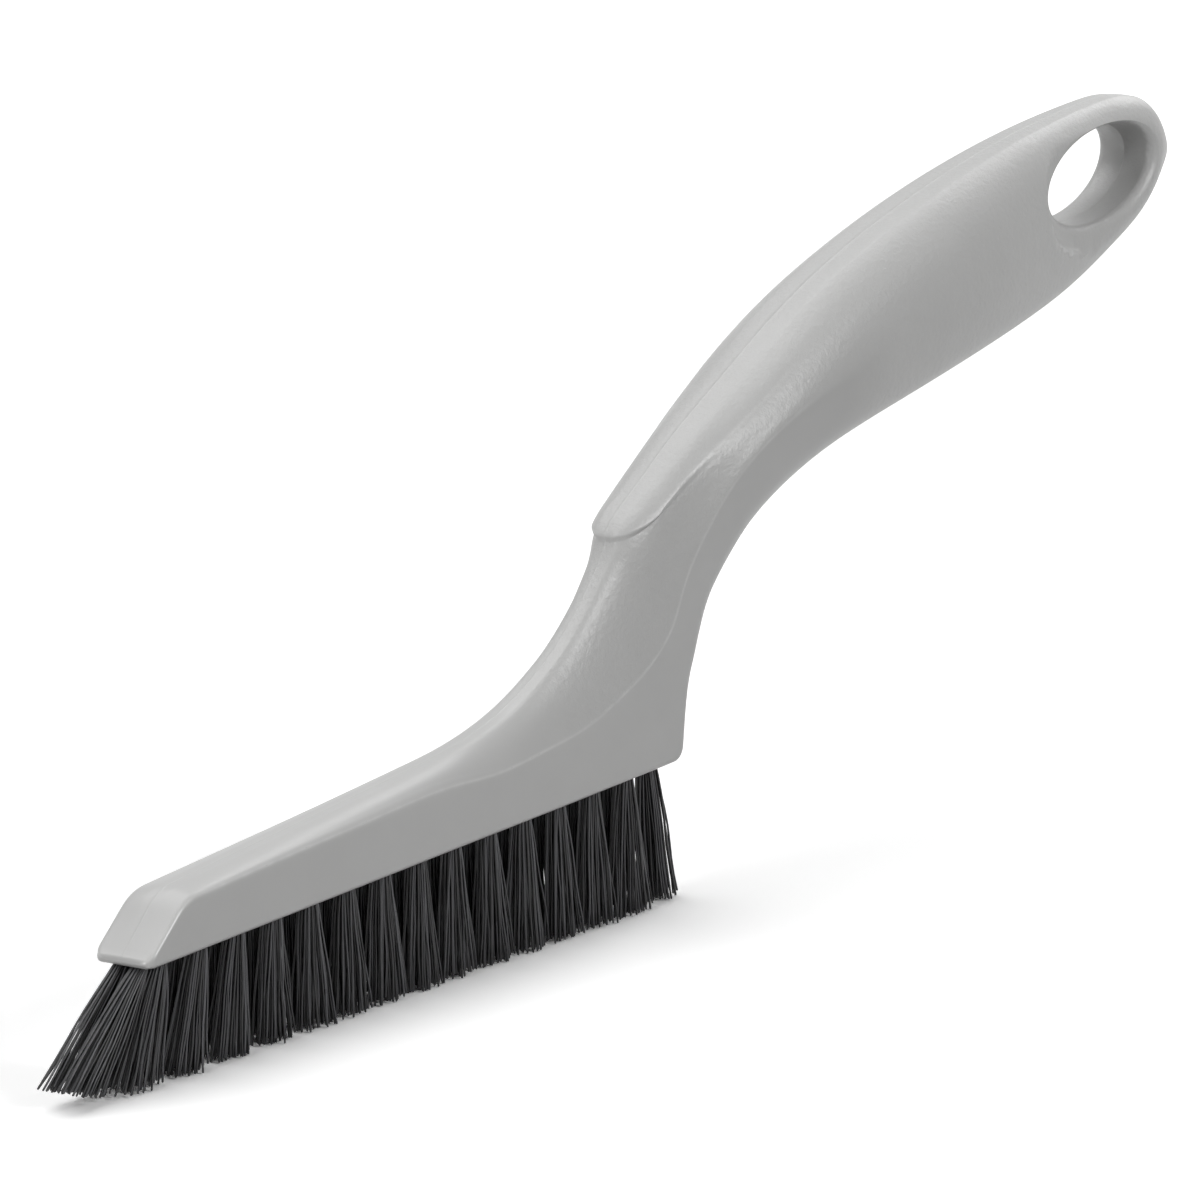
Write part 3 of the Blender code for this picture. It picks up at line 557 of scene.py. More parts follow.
def panel_shift(place, lip_place, across_share):
    """How far towards the head a rib's points move, so that a rib follows the panel's lip."""
    middle = lip_place + PANEL_BOW
    reach = PANEL_BEFORE if place < middle else PANEL_AFTER
    window = ease(1 - abs(place - middle) / reach)
    across = min(across_share, 1.0)
    return PANEL_BOW * math.sqrt(1 - across**4) * window


def panel_lift(place, lip_place, across_share):
    """Height of the thumb panel over the surface around it, which fades sooner at its sides."""
    past = place - lip_place - PANEL_BOW
    fade = PANEL_FADE + (PANEL_SIDE_FADE - PANEL_FADE) * ease(across_share)
    return PANEL_STEP * ease(past / PANEL_STEP_RUN) * (1 - ease(past / fade))


def ring_points(section_at, place, lip_place):
    """One closed ring of the handle, as points in space."""
    here = section_at(place)
    flat_half, edge_point = half_section(here)
    count = len(flat_half)
    edge = flat_half[edge_point][0]
    points = []
    for i in range(count):
        values, half, lift = here, flat_half, 0.0
        if i > edge_point:
            across_share = flat_half[i][0] / edge
            lift = panel_lift(place, lip_place, across_share)
            lift *= ease((i - edge_point) / PANEL_RIM_POINTS)
            shift = panel_shift(place, lip_place, across_share)
            if shift > 0.0:
                values = section_at(place - shift)
                half = half_section(values)[0]
        point = half[i]
        if lift > 0.0:
            run = half[min(i + 1, count - 1)] - half[i - 1]
            if i >= count - PARTING_POINTS:
                run = np.array([-1.0, 0.0])
            point = point + np.array([run[1], -run[0]]) / np.linalg.norm(run) * lift
        bottom = values[BOTTOM]
        up = values[TOP] - bottom
        where = bottom + up / np.linalg.norm(up) * point[1]
        points.append((where[0], -point[0], where[1]))
    mirrored = [(x, -y, z) for x, y, z in points[1:-1]]
    return np.array(points + mirrored[::-1])


def nose_outline():
    """Side outline of the nose: (x, lower z, upper side edge z) from the lip to the head."""
    rise = math.tan(NOSE_SLOPE)
    head_row, next_row = HEAD_RIB_SHARES[:2]
    head_x = HEAD_LENGTH * head_row[0]
    head_z = HEAD_HEIGHT * head_row[2]
    run = HEAD_LENGTH * (next_row[0] - head_row[0])
    head_slope = HEAD_HEIGHT * (next_row[2] - head_row[2]) / run
    lip_x = NOSE_LIP_RADIUS
    start_z = NOSE_LIP_RADIUS * (1 + 1 / math.cos(NOSE_SLOPE)) - rise * lip_x
    meet_x = (head_z - head_slope * head_x - start_z) / (rise - head_slope)
    meet_z = start_z + rise * meet_x
    outline = []
    for i in range(1, LIP_STEPS):
        angle = NOSE_LIP_TURN * (i / LIP_STEPS)
        x = lip_x - NOSE_LIP_RADIUS * math.cos(angle)
        drop = NOSE_LIP_RADIUS * math.sin(angle)
        outline.append((x, NOSE_LIP_RADIUS - drop, NOSE_LIP_RADIUS + drop))
    ease_x = NOSE_TOP_EASE * math.cos(NOSE_SLOPE)
    for i in range(1, NOSE_LINE_STEPS + 1):
        x = lip_x + (meet_x - ease_x - lip_x) * i / NOSE_LINE_STEPS
        outline.append((x, 0.0, start_z + rise * x))
    begin = np.array([meet_x - ease_x, meet_z - NOSE_TOP_EASE * math.sin(NOSE_SLOPE)])
    corner = np.array([meet_x, meet_z])
    end = np.array([meet_x + NOSE_TOP_EASE, meet_z + NOSE_TOP_EASE * head_slope])
    for i in range(1, NOSE_ARC_STEPS + 1):
        x, z = bend(begin, corner, end, i / NOSE_ARC_STEPS)
        outline.append((x, 0.0, z))
    return outline


def nose_rings(first_row, lip_place):
    """Upright rings from the nose back to the head's first control rib."""
    head_share = first_row[CREASE]
    reach = first_row[TOP][0]
    rings = []
    for x, low, side in nose_outline():
        share = x / reach
        crown = NOSE_CROWN_SHARE + (1 - head_share - NOSE_CROWN_SHARE) * share
        length = (side - low) / (1 - crown)
        turn = max(0.0, NOSE_SIDE_RADIUS - x)
        tuck = NOSE_SIDE_RADIUS - math.sqrt(max(0.0, NOSE_SIDE_RADIUS**2 - turn**2))
        values = first_row.copy()
        values[TOP] = (x, low + length)
        values[BOTTOM] = (x, low)
        values[WIDTH] = first_row[WIDTH] - tuck * NOSE_SIDE_SHARE
        values[CREASE] = 1 - crown
        # A place so far ahead of the panel's lip that the panel leaves the ring alone
        far = -lip_place
        rings.append(ring_points(lambda place, found=values: found, far, lip_place))
    return rings


def hang_centre():
    """Middle of the hang hole, in the plane of symmetry."""
    along, up = HANG_PLACE_SHARE
    return HEAD_LENGTH + HANDLE_REACH * along, HANDLE_RISE * up


def hang_offset(points):
    """How far outside the hang hole's oval each point lies, seen from the side."""
    centre_x, centre_z = hang_centre()
    across = points[:, 0] - centre_x
    up = points[:, 2] - centre_z
    along = np.abs(across * HANG_COS + up * HANG_SIN)
    over = np.abs(up * HANG_COS - across * HANG_SIN)
    low = np.full(len(points), -HANG_HEIGHT / 2 * HANG_INSIDE_SHARE)
    high = np.full(len(points), HANDLE_REACH)
    for _ in range(OFFSET_HALVINGS):
        middle = (low + high) / 2
        half_length = HANG_LENGTH / 2 + middle
        half_height = HANG_HEIGHT / 2 + middle
        outside = (along / half_length) ** 2 + (over / half_height) ** 2 > 1
        low = np.where(outside, middle, low)
        high = np.where(outside, high, middle)
    return (low + high) / 2


def press_land(points):
    """Flat land round the hang hole on both sides, with a soft flare out to the grip's surface."""
    offset = hang_offset(points) - HANG_RIM_RADIUS
    outer = np.maximum(offset, 0.0)
    past = np.maximum(offset - HANG_RIM_LAND, 0.0)
    limit = HANG_RIM_HALF + HANG_RIM_RISE * outer + HANG_RIM_BEND * past**2
    width = np.abs(points[:, 1])
    mix = np.clip(0.5 + 0.5 * (width - limit) / HANG_RIM_BLEND, 0.0, 1.0)
    soft = width * (1 - mix) + limit * mix - HANG_RIM_BLEND * mix * (1 - mix) / 2
    held = np.where(limit < GRIP_WIDTH, soft, width)
    points[:, 1] = np.sign(points[:, 1]) * held
    return points


def hang_ring(across, grow):
    """Oval ring of the hang hole, at one depth and with one offset."""
    centre_x, centre_z = hang_centre()
    turn = np.arange(HANG_SIDES) * 2 * math.pi / HANG_SIDES
    along = (HANG_LENGTH / 2 + grow) * np.cos(turn)
    up = (HANG_HEIGHT / 2 + grow) * np.sin(turn)
    x = centre_x + along * HANG_COS - up * HANG_SIN
    z = centre_z + along * HANG_SIN + up * HANG_COS
    return np.stack([x, np.full(HANG_SIDES, across), z], axis=1)


def hang_cutter_rings():
    """Rings of the spool that cuts the hang hole with its rounded rims and its parting line."""
    middle = HANG_RIM_HALF - HANG_RIM_RADIUS
    side = [(0.0, -HANG_DRAFT - HANG_PARTING_RISE), (PARTING_HALF, -HANG_DRAFT)]
    for i in range(HANG_RIM_STEPS + 1):
        angle = HANG_RIM_END * i / HANG_RIM_STEPS
        grow = HANG_RIM_RADIUS * (1 - math.cos(angle))
        side.append((middle + HANG_RIM_RADIUS * math.sin(angle), grow))
    across, grow = side[-1]
    run = HANG_RIM_OVERRUN
    side.append((across + run * math.cos(HANG_RIM_END), grow + run * math.sin(HANG_RIM_END)))
    side.append((GRIP_WIDTH, grow + run))
    rings = [hang_ring(-across, grow) for across, grow in reversed(side)]
    rings += [hang_ring(across, grow) for across, grow in side[1:]]
    return rings


def loft(name, rings):
    """Closed mesh through equal rings of points, with a flat face over each end."""
    count = len(rings[0])
    verts = np.concatenate(rings)
    faces = []
    for layer in range(len(rings) - 1):
        base = layer * count
        for i in range(count):
            j = (i + 1) % count
            faces.append((base + i, base + j, base + count + j, base + count + i))
    faces.append(tuple(range(count))[::-1])
    faces.append(tuple(range(len(verts) - count, len(verts))))
    mesh = bpy.data.meshes.new(name)
    mesh.from_pydata(verts.tolist(), [], faces)
    form = bmesh.new()
    form.from_mesh(mesh)
    bmesh.ops.remove_doubles(form, verts=form.verts, dist=MERGE_GAP)
    bmesh.ops.recalc_face_normals(form, faces=form.faces)
    form.to_mesh(mesh)
    form.free()
    return mesh


def form_mesh(name, form):
    """Mesh of a form that is built up with bmesh."""
    mesh = bpy.data.meshes.new(name)
    form.to_mesh(mesh)
    form.free()
    return mesh


def add_object(name, data):
    """Place a mesh, a lamp or a camera in the scene."""
    item = bpy.data.objects.new(name, data)
    bpy.context.scene.collection.objects.link(item)
    return item


def tuft_list():
    """Every tuft: name, place, lean and hole, and how its filaments flare and its tips spread."""
    pitch = (HEAD_LENGTH - LAST_TUFT_INSET - FIRST_TUFT) / (ROW_TUFTS - 1)
    half_row = ROW_SPACING / 2
    sides = {"right": -1, "left": 1}.items()
    tufts = []
    for side, sign in sides:
        tufts.append({
            "name": "nose_tuft_" + side, "x": NOSE_TUFT_PLACE, "y": sign * NOSE_TUFT_SPACING / 2,
            "lean": NOSE_LEAN, "diameter": NOSE_HOLE_DIAMETER,
            "depth": NOSE_HOLE_DEPTH, "flare": FILAMENT_FLARE * NARROW_FLARE,
            "spread": (pitch / 2 * NOSE_SPREAD, NOSE_TUFT_SPACING / 2),
        })
    for n in range(ROW_TUFTS):
        lean = ROW_LEANS[n] if n < len(ROW_LEANS) else 0.0
        along = {0: FIRST_SPREAD, ROW_TUFTS - 1: LAST_SPREAD}.get(n, 1.0)
        for side, sign in sides:
            tufts.append({
                "name": "tuft_%s_%02d" % (side, n + 1), "x": FIRST_TUFT + pitch * n,
                "y": sign * half_row, "lean": lean,
                "diameter": HOLE_DIAMETER if n else NOSE_HOLE_DIAMETER, "depth": HOLE_DEPTH,
                "flare": FILAMENT_FLARE * (1.0 if n else NARROW_FLARE),
                "spread": (pitch / 2 * along, half_row * ROW_SPREAD_ACROSS),
            })
    along, across = HEEL_SPREAD
    tufts.append({
        "name": "heel_tuft", "x": HEAD_LENGTH - HEEL_TUFT_INSET, "y": 0.0,
        "lean": HEEL_LEAN, "diameter": HOLE_DIAMETER, "depth": HOLE_DEPTH,
        "flare": FILAMENT_FLARE * HEEL_FLARE, "spread": (pitch / 2 * along, half_row * across),
    })
    return tufts


def tuft_frame(tuft):
    """Matrix that puts a tuft's own frame, +Z into the head, at its hole's mouth."""
    turn = Matrix.Rotation(tuft["lean"], 4, "Y")
    return Matrix.Translation((tuft["x"], tuft["y"], 0.0)) @ turn


def hole_mesh(tufts):
    """Cutters of the tuft holes, as one mesh."""
    form = bmesh.new()
    for tuft in tufts:
        length = tuft["depth"] + CUTTER_OVERRUN
        place = tuft_frame(tuft) @ Matrix.Translation((0.0, 0.0, tuft["depth"] - length / 2))
        bmesh.ops.create_cone(
            form, cap_ends=True, segments=DRILL_SIDES, radius1=tuft["diameter"] / 2,
            radius2=tuft["diameter"] / 2, depth=length, matrix=place,
        )
    return form_mesh("tuft_holes", form)


def pocket_mesh(tufts):
    """Cutters of the anchors' pockets in the walls of their holes, as one mesh."""
    size = [side + 2 * FIT_GAP for side in (ANCHOR_LENGTH, ANCHOR_THICKNESS, ANCHOR_HEIGHT)]
    form = bmesh.new()
    for tuft in tufts:
        if tuft["name"].startswith("tuft"):
            height = tuft["depth"] - 3 * FIT_GAP - ANCHOR_HEIGHT / 2
            place = tuft_frame(tuft) @ Matrix.Translation((0.0, 0.0, height))
            bmesh.ops.create_cube(form, size=1.0, matrix=place @ Matrix.Diagonal((*size, 1.0)))
    return form_mesh("anchor_pockets", form)


def cut(item, name, mesh):
    """Cut a mesh out of an object for good."""
    cutter = add_object(name, mesh)
    step = item.modifiers.new(name, "BOOLEAN")
    step.operation = "DIFFERENCE"
    step.solver = "EXACT"
    step.object = cutter
    bpy.context.view_layer.update()
    depsgraph = bpy.context.evaluated_depsgraph_get()
    result = bpy.data.meshes.new_from_object(item.evaluated_get(depsgraph))
    item.modifiers.clear()
    item.data = result
    bpy.data.objects.remove(cutter)


def trim_height(x):
    """Height of the plane on which the bristle tips are trimmed, lifted ahead of the nose."""
    drop = TRIM_AT_NOSE + (TRIM_AT_HEEL - TRIM_AT_NOSE) * x / HEAD_LENGTH
    return NOSE_TRIM_LIFT * np.minimum(x, 0.0) ** 2 - drop


def root_places(radius, pitch, rng):
    """Places of a tuft's filaments in its mouth, packed side by side."""
    reach = radius - FILAMENT_RADIUS
    rows = int(reach / pitch) + 2
    row, column = (grid.ravel() for grid in np.mgrid[-rows:rows + 1, -rows:rows + 1])
    places = np.stack([(column + row % 2 / 2) * pitch, row * pitch * math.sqrt(3) / 2], axis=1)
    places = places[np.linalg.norm(places, axis=1) <= reach]
    turn = rng.uniform(0.0, math.pi / 3)
    spin = np.array([[math.cos(turn), -math.sin(turn)], [math.sin(turn), math.cos(turn)]])
    return places @ spin


def in_frame(matrix, roots, height):
    """A tuft's filament places at one height in its own frame, as points in the head's frame."""
    count = len(roots)
    rows = np.concatenate([roots, np.full((count, 1), height), np.ones((count, 1))], axis=1)
    return (rows @ matrix.T)[:, :3]


def filament_paths(tuft, rng):
    """Middle lines of a tuft's filaments, from inside the hole to the trimmed tip."""
    radius = tuft["diameter"] / 2
    narrow = tuft["diameter"] < HOLE_DIAMETER
    roots = root_places(radius, NOSE_FILAMENT_PITCH if narrow else FILAMENT_PITCH, rng)
    count = len(roots)
    shares = roots / (radius - FILAMENT_RADIUS)
    spread = np.array(tuft["spread"])
    at_nose = tuft["name"].startswith("nose")
    tip_lean = NOSE_TIP_LEAN if at_nose else tuft["lean"]
    middle_x = tuft["x"] + math.tan(tip_lean) * trim_height(tuft["x"])
    middle = np.array([middle_x, tuft["y"]])
    tips = middle + shares * spread + rng.normal(0.0, TIP_JITTER, (count, 2))
    stray = rng.uniform(size=count) < STRAY_SHARE
    tips[:, 0] += stray * rng.uniform(-1.0, 1.0, count) * spread[0] * STRAY_REACH
    if at_nose:
        tips[:, 0] = np.maximum(tips[:, 0], middle_x - spread[0] * NOSE_SPREAD_AHEAD)
    matrix = np.array(tuft_frame(tuft))
    inner = in_frame(matrix, roots, FILAMENT_REACH_IN)
    start = in_frame(matrix, roots, 0.0)
    run = np.concatenate([tips, trim_height(tips[:, 0])[:, None] + FILAMENT_RADIUS], axis=1) - start
    short = rng.uniform(0.0, 1.0, count) ** 2 * FILAMENT_RAGGED
    run = run * (1 - short / np.linalg.norm(run, axis=1))[:, None]
    share = np.linspace(0.0, 1.0, FILAMENT_RINGS)
    path = start[:, None, :] + run[:, None, :] * share[None, :, None]
    swell = share * (1 - share)
    fan = tips - middle - roots
    path[:, :, :2] += fan[:, None, :] * (swell * (1 - share) * tuft["flare"])[None, :, None]
    for axis in (0, 1):
        phase = rng.uniform(0.0, 2 * math.pi, (count, 1))
        turns = rng.uniform(*FILAMENT_WAVE_TURNS, (count, 1))
        size = rng.uniform(*FILAMENT_WAVE_SIZES, (count, 1)) * FILAMENT_WAVE
        wave = np.sin(phase + turns * 2 * math.pi * share[None, :]) * (share + swell)[None, :]
        path[:, :, axis] += wave * size
    return np.concatenate([inner[:, None, :], path], axis=1)


def filament_mesh(name, paths, rng):
    """Round filaments along the paths, with eased tips, as one mesh."""
    count, rings = paths.shape[:2]
    ahead = np.gradient(paths, axis=1)
    ahead /= np.linalg.norm(ahead, axis=2, keepdims=True)
    side = np.cross(ahead, np.array([0.0, 1.0, 0.0]))
    side /= np.linalg.norm(side, axis=2, keepdims=True)
    other = np.cross(ahead, side)
    turn = np.arange(FILAMENT_SIDES) * 2 * math.pi / FILAMENT_SIDES
    start = rng.uniform(0.0, 2 * math.pi, count)
    cos_turn = np.cos(turn[None, :] + start[:, None])[:, None, :, None]
    sin_turn = np.sin(turn[None, :] + start[:, None])[:, None, :, None]
    thick = FILAMENT_RADIUS * rng.uniform(*FILAMENT_THICKNESS, count)[:, None] * np.ones((1, rings + 1))
    thick[:, -1] *= FILAMENT_TIP_WIDTH
    tip = paths[:, -1:] + ahead[:, -1:] * FILAMENT_RADIUS * FILAMENT_TIP_LENGTH
    paths = np.concatenate([paths, tip], axis=1)
    side = np.concatenate([side, side[:, -1:]], axis=1)
    other = np.concatenate([other, other[:, -1:]], axis=1)
    around = side[:, :, None] * cos_turn + other[:, :, None] * sin_turn
    verts = paths[:, :, None] + around * thick[:, :, None, None]
    layers = rings + 1
    faces = []
    for base in range(0, count * layers * FILAMENT_SIDES, layers * FILAMENT_SIDES):
        for layer in range(layers - 1):
            low = base + layer * FILAMENT_SIDES
            for i in range(FILAMENT_SIDES):
                j = (i + 1) % FILAMENT_SIDES
                faces.append((low + i, low + FILAMENT_SIDES + i, low + FILAMENT_SIDES + j, low + j))
        faces.append(tuple(range(base, base + FILAMENT_SIDES)))
        last = base + (layers - 1) * FILAMENT_SIDES
        faces.append(tuple(range(last, last + FILAMENT_SIDES))[::-1])
    mesh = bpy.data.meshes.new(name)
    mesh.from_pydata(verts.reshape(-1, 3).tolist(), [], faces)
    mesh.shade_smooth()
    return mesh


def stand_matrix():
    """Matrix from the head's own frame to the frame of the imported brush."""
    tilt = math.atan((TRIM_AT_HEEL - TRIM_AT_NOSE) / HEAD_LENGTH)
    turn = Matrix.Rotation(-tilt, 4, "Y")
    lip_x = NOSE_LIP_RADIUS * (1 - math.cos(NOSE_LIP_CUT))
    lip_z = NOSE_LIP_RADIUS * (1 + math.sin(NOSE_LIP_CUT))
    low = (turn @ Vector((lip_x, 0.0, lip_z))).x
    place = (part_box("handle")[0].x - low, 0.0, TRIM_AT_NOSE * math.cos(tilt))
    return Matrix.Translation(place) @ turn


def edge_lines(rings, places, section_at, lip_place):
    """Moulded edges that get a painted highlight and a little polish, as rows of points with a strength
    each.
    """
    panel_edge = half_section(section_at(lip_place))[1] + PANEL_EDGE_POINT
    count = len(rings[0])
    rim_place = lip_place + PANEL_BOW + PANEL_STEP_RUN * PANEL_EDGE_SHARE
    rim_ring = min(range(len(places)), key=lambda n: abs(places[n] - rim_place))
    last = places[-1] * CREASE_END_SHARE
    side = [(n, ease((last - place) / CREASE_FADE)) for n, place in enumerate(places) if place < last]
    crest = [
        (n, ease((rim_place + PANEL_RIM_END - place) / PANEL_RIM_END))
        for n, place in enumerate(places) if rim_place <= place < rim_place + PANEL_RIM_END
    ]
    lines = []
    for index, rows in ((CREASE_POINT, side), (panel_edge, crest)):
        for point in (index, count - index):
            lines.append([(rings[n][point], strength) for n, strength in rows])
    rim = rings[rim_ring][panel_edge:count - panel_edge + 1]
    lines.append([(point, 1.0) for point in rim])
    return lines


def grain_values(rings, places):
    """How grained the moulding is at each point of the rings. The neck's front and the grip are."""
    count = len(rings[0])
    tip = places[-1] * CREASE_END_SHARE
    values = []
    for place in places:
        begun = ease((place - GRAIN_START) / GRAIN_FADE)
        past_tip = ease((place - tip) / GRAIN_FADE + 0.5)
        for i in range(count):
            above = ease((min(i, count - i) - CREASE_POINT) / GRAIN_EDGE_POINTS + 0.5)
            values.append(begun * max(above, past_tip))
    return values


def point_tree(points):
    """Search tree that gives the number of the nearest point."""
    tree = KDTree(len(points))
    for number, point in enumerate(points):
        tree.insert(Vector(point), number)
    tree.balance()
    return tree


def mark_mesh(mesh, name, values):
    """Write one value for each point of a mesh, under the name its material reads."""
    mesh.attributes.new(name, "FLOAT", "POINT").data.foreach_set("value", values)


def mark_grain(mesh, rings, values):
    """Give each point of the mesh the grain of the nearest point of the rings."""
    tree = point_tree(np.concatenate(rings))
    mark_mesh(mesh, "grained", [values[tree.find(vert.co)[1]] for vert in mesh.vertices])


def mark_edges(mesh, lines):
    """Mark each point of the mesh with how near it lies to the edges with the painted highlight."""
    samples = []
    strengths = []
    for line in lines:
        for (start, strength), (end, _) in zip(line, line[1:]):
            steps = max(1, math.ceil(np.linalg.norm(end - start) / EDGE_STEP))
            samples += [start + (end - start) * i / steps for i in range(steps)]
            strengths += [strength] * steps
    tree = point_tree(samples)
    near = []
    for vert in mesh.vertices:
        _, number, gap = tree.find(vert.co)
        near.append(strengths[number] * math.exp(-(gap / EDGE_REACH) ** 2))
    mark_mesh(mesh, "edge_highlight_and_polish", near)


def make_handle(stand):
    """The moulded handle with its hang hole and tuft holes, and the marks for its material."""
    section_at, places = rib_curve()
    lip_place = places[PANEL_RIB] - PANEL_LEAD
    rings = nose_rings(section_at(0.0), lip_place)
    ring_places = [0.0] * len(rings) + rib_spacing(places, lip_place)
    for place in ring_places[len(rings):]:
        rings.append(press_land(ring_points(section_at, place, lip_place)))
    lines = edge_lines(rings, ring_places, section_at, lip_place)
    handle = add_object("handle_moulding", loft("handle_moulding", rings))
    cut(handle, "hang_hole", loft("hang_hole", hang_cutter_rings()))
    tufts = tuft_list()
    cut(handle, "tuft_holes", hole_mesh(tufts))
    cut(handle, "anchor_pockets", pocket_mesh(tufts))
    mesh = handle.data
    mesh.name = "handle_moulding"
    mesh.shade_smooth()
    mesh.set_sharp_from_angle(angle=SMOOTH_ANGLE)
    mark_edges(mesh, lines)
    mark_grain(mesh, rings, grain_values(rings, ring_places))
    mesh.transform(stand)
    fit_box(mesh, *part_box("handle"))
    return handle


def fit_box(mesh, low, high):
    """Stretch a mesh very slightly, so that its box is the one given."""
    points = np.array([vert.co for vert in mesh.vertices])
    now_low = points.min(axis=0)
    share = (points - now_low) / (points.max(axis=0) - now_low)
    points = np.array(low) + share * (np.array(high) - np.array(low))
    mesh.vertices.foreach_set("co", points.ravel())
    mesh.update()


def set_inputs(tree, node, **inputs):
    """Set or link the inputs of a node given by name, with _ for a space."""
    for name, value in inputs.items():
        feed(tree, node.inputs[name.replace("_", " ")], value)


def feed(tree, socket, value):
    """Link a socket to another node's output, or set it to a constant."""
    if isinstance(value, bpy.types.NodeSocket):
        tree.links.new(value, socket)
    else:
        socket.default_value = value


def add_node(tree, kind, **inputs):
    """Add a node with the inputs given by name."""
    made = tree.nodes.new(kind)
    set_inputs(tree, made, **inputs)
    return made


def attribute(tree, name):
    """A value that the mesh carries under a name."""
    made = tree.nodes.new("ShaderNodeAttribute")
    made.attribute_name = name
    return made.outputs["Fac"]


def noise(tree, place, size, detail=2.0, rough=0.5):
    """Noise whose features are about one size across."""
    made = add_node(
        tree, "ShaderNodeTexNoise", Vector=place, Scale=1 / size, Detail=detail, Roughness=rough
    )
    return made.outputs["Fac"]


def stretched(tree, place, scale):
    """Coordinates scaled along each axis."""
    return add_node(tree, "ShaderNodeMapping", Vector=place, Scale=scale).outputs["Vector"]


def ramp(tree, value, low, high, start, end):
    """Map a value from one range to another, held at both ends."""
    made = add_node(
        tree, "ShaderNodeMapRange", Value=value, From_Min=low, From_Max=high, To_Min=start, To_Max=end
    )
    return made.outputs["Result"]


def maths(tree, kind, first, second=0.0):
    """One operation on two values."""
    made = tree.nodes.new("ShaderNodeMath")
    made.operation = kind
    for socket, value in zip(made.inputs, (first, second)):
        feed(tree, socket, value)
    return made.outputs[0]


def blend_color(tree, share, first, second):
    """Mix of two colours."""
    made = tree.nodes.new("ShaderNodeMix")
    made.data_type = "RGBA"
    for number, value in ((0, share), (6, first), (7, second)):
        feed(tree, made.inputs[number], value)
    return made.outputs[2]


def bump(tree, height, distance, strength):
    """Bump of a real height."""
    made = add_node(tree, "ShaderNodeBump", Height=height, Distance=distance, Strength=strength)
    return made.outputs["Normal"]


def shade(color, share):
    """A colour made lighter or darker."""
    return tuple(value * share for value in color) + (1.0,)


def tinted(tree, base, color, *layers):
    """A base colour under layers of another, each with its share and its lightness."""
    for share, light in layers:
        base = blend_color(tree, share, base, shade(color, light))
    return base


def new_material(name):
    """A material and its tree, shader and object coordinates."""
    material = bpy.data.materials.new(name)
    material.use_nodes = True
    tree = material.node_tree
    shader = tree.nodes["Principled BSDF"]
    place = tree.nodes.new("ShaderNodeTexCoord").outputs["Object"]
    return material, tree, shader, place


def plastic_material():
    """Satin grey moulded plastic with a fine grain, faint mottling, a paler parting line, painted
    highlight lines along some edges and painted shade on the ungrained surfaces.
    """
    material, tree, shader, place = new_material("satin_grey_plastic")
    along, across, _ = add_node(tree, "ShaderNodeSeparateXYZ", Vector=place).outputs
    grained = attribute(tree, "grained")
    grip_mask = ramp(tree, grained, 0.0, 1.0, GRAIN_LEAST, 1.0)
    broad = noise(tree, place, BROAD_SIZE, 3.0)
    cloud = noise(tree, place, CLOUD_SIZE, 3.0)
    fleck = noise(tree, place, FLECK_SIZE, 2.0)
    grain = noise(tree, place, GRAIN_SIZE, 3.0, 0.6)
    crinkle = add_node(tree, "ShaderNodeTexVoronoi", Vector=place, Scale=1 / CRINKLE_SIZE)
    crinkle.feature = "SMOOTH_F1"

    # Painted shade: every ungrained surface is darkened, fading in between 10 and 35 mm along: the
    # smooth sides of neck and grip, and the head behind its nose
    painted_shade = maths(tree, "SUBTRACT", ramp(tree, along, *PAINTED_SHADE_RUN, 0.0, 1.0), grained)
    line = ramp(tree, maths(tree, "ABSOLUTE", across), *PARTING_FADE, 0.6, 0.0)
    line = maths(tree, "MULTIPLY", line, ramp(tree, along, *PARTING_BEGINS, 0.0, 1.0))
    patchy = ramp(tree, noise(tree, place, HIGHLIGHT_PATCH_SIZE, 3.0), 0.3, 0.7, 0.55, 1.0)
    # Painted highlight: the crease, the panel's crest and its lip are lightened in patches; the same
    # mask makes them slightly glossier
    edge = maths(tree, "MULTIPLY", attribute(tree, "edge_highlight_and_polish"), patchy)
    base = tinted(
        tree, shade(PLASTIC_COLOR, 0.97), PLASTIC_COLOR,
        (ramp(tree, broad, 0.3, 0.7, 0.0, 1.0), 1.03),
        (ramp(tree, cloud, 0.35, 0.75, 0.0, 0.35), 0.96),
        (ramp(tree, fleck, 0.5, 0.8, 0.0, 0.2), 1.04),
        # Painted shade on the ungrained surfaces
        (maths(tree, "MAXIMUM", painted_shade, 0.0), 0.86),
        (line, 1.14),
        # Painted highlight along the edges
        (maths(tree, "MULTIPLY", edge, 0.8), 1.35),
    )

    rough = ramp(tree, cloud, 0.3, 0.7, *PLASTIC_ROUGH)
    rough = maths(tree, "ADD", rough, ramp(tree, fleck, 0.3, 0.7, -0.01, 0.01))
    rough = maths(tree, "ADD", rough, maths(tree, "MULTIPLY", grip_mask, 0.03))
    rough = maths(tree, "SUBTRACT", rough, maths(tree, "MULTIPLY", edge, 0.06))

    height = maths(tree, "ADD", grain, maths(tree, "MULTIPLY", crinkle.outputs["Distance"], 0.9))
    height = maths(tree, "MULTIPLY", height, grip_mask)
    set_inputs(
        tree, shader, Base_Color=base, Roughness=rough, Normal=bump(tree, height, GRAIN_DEPTH, 0.7),
        Specular_IOR_Level=0.75, Subsurface_Weight=0.08, Subsurface_Radius=(1.0, 1.0, 1.0),
        Subsurface_Scale=1.2 * MM,
    )
    return material


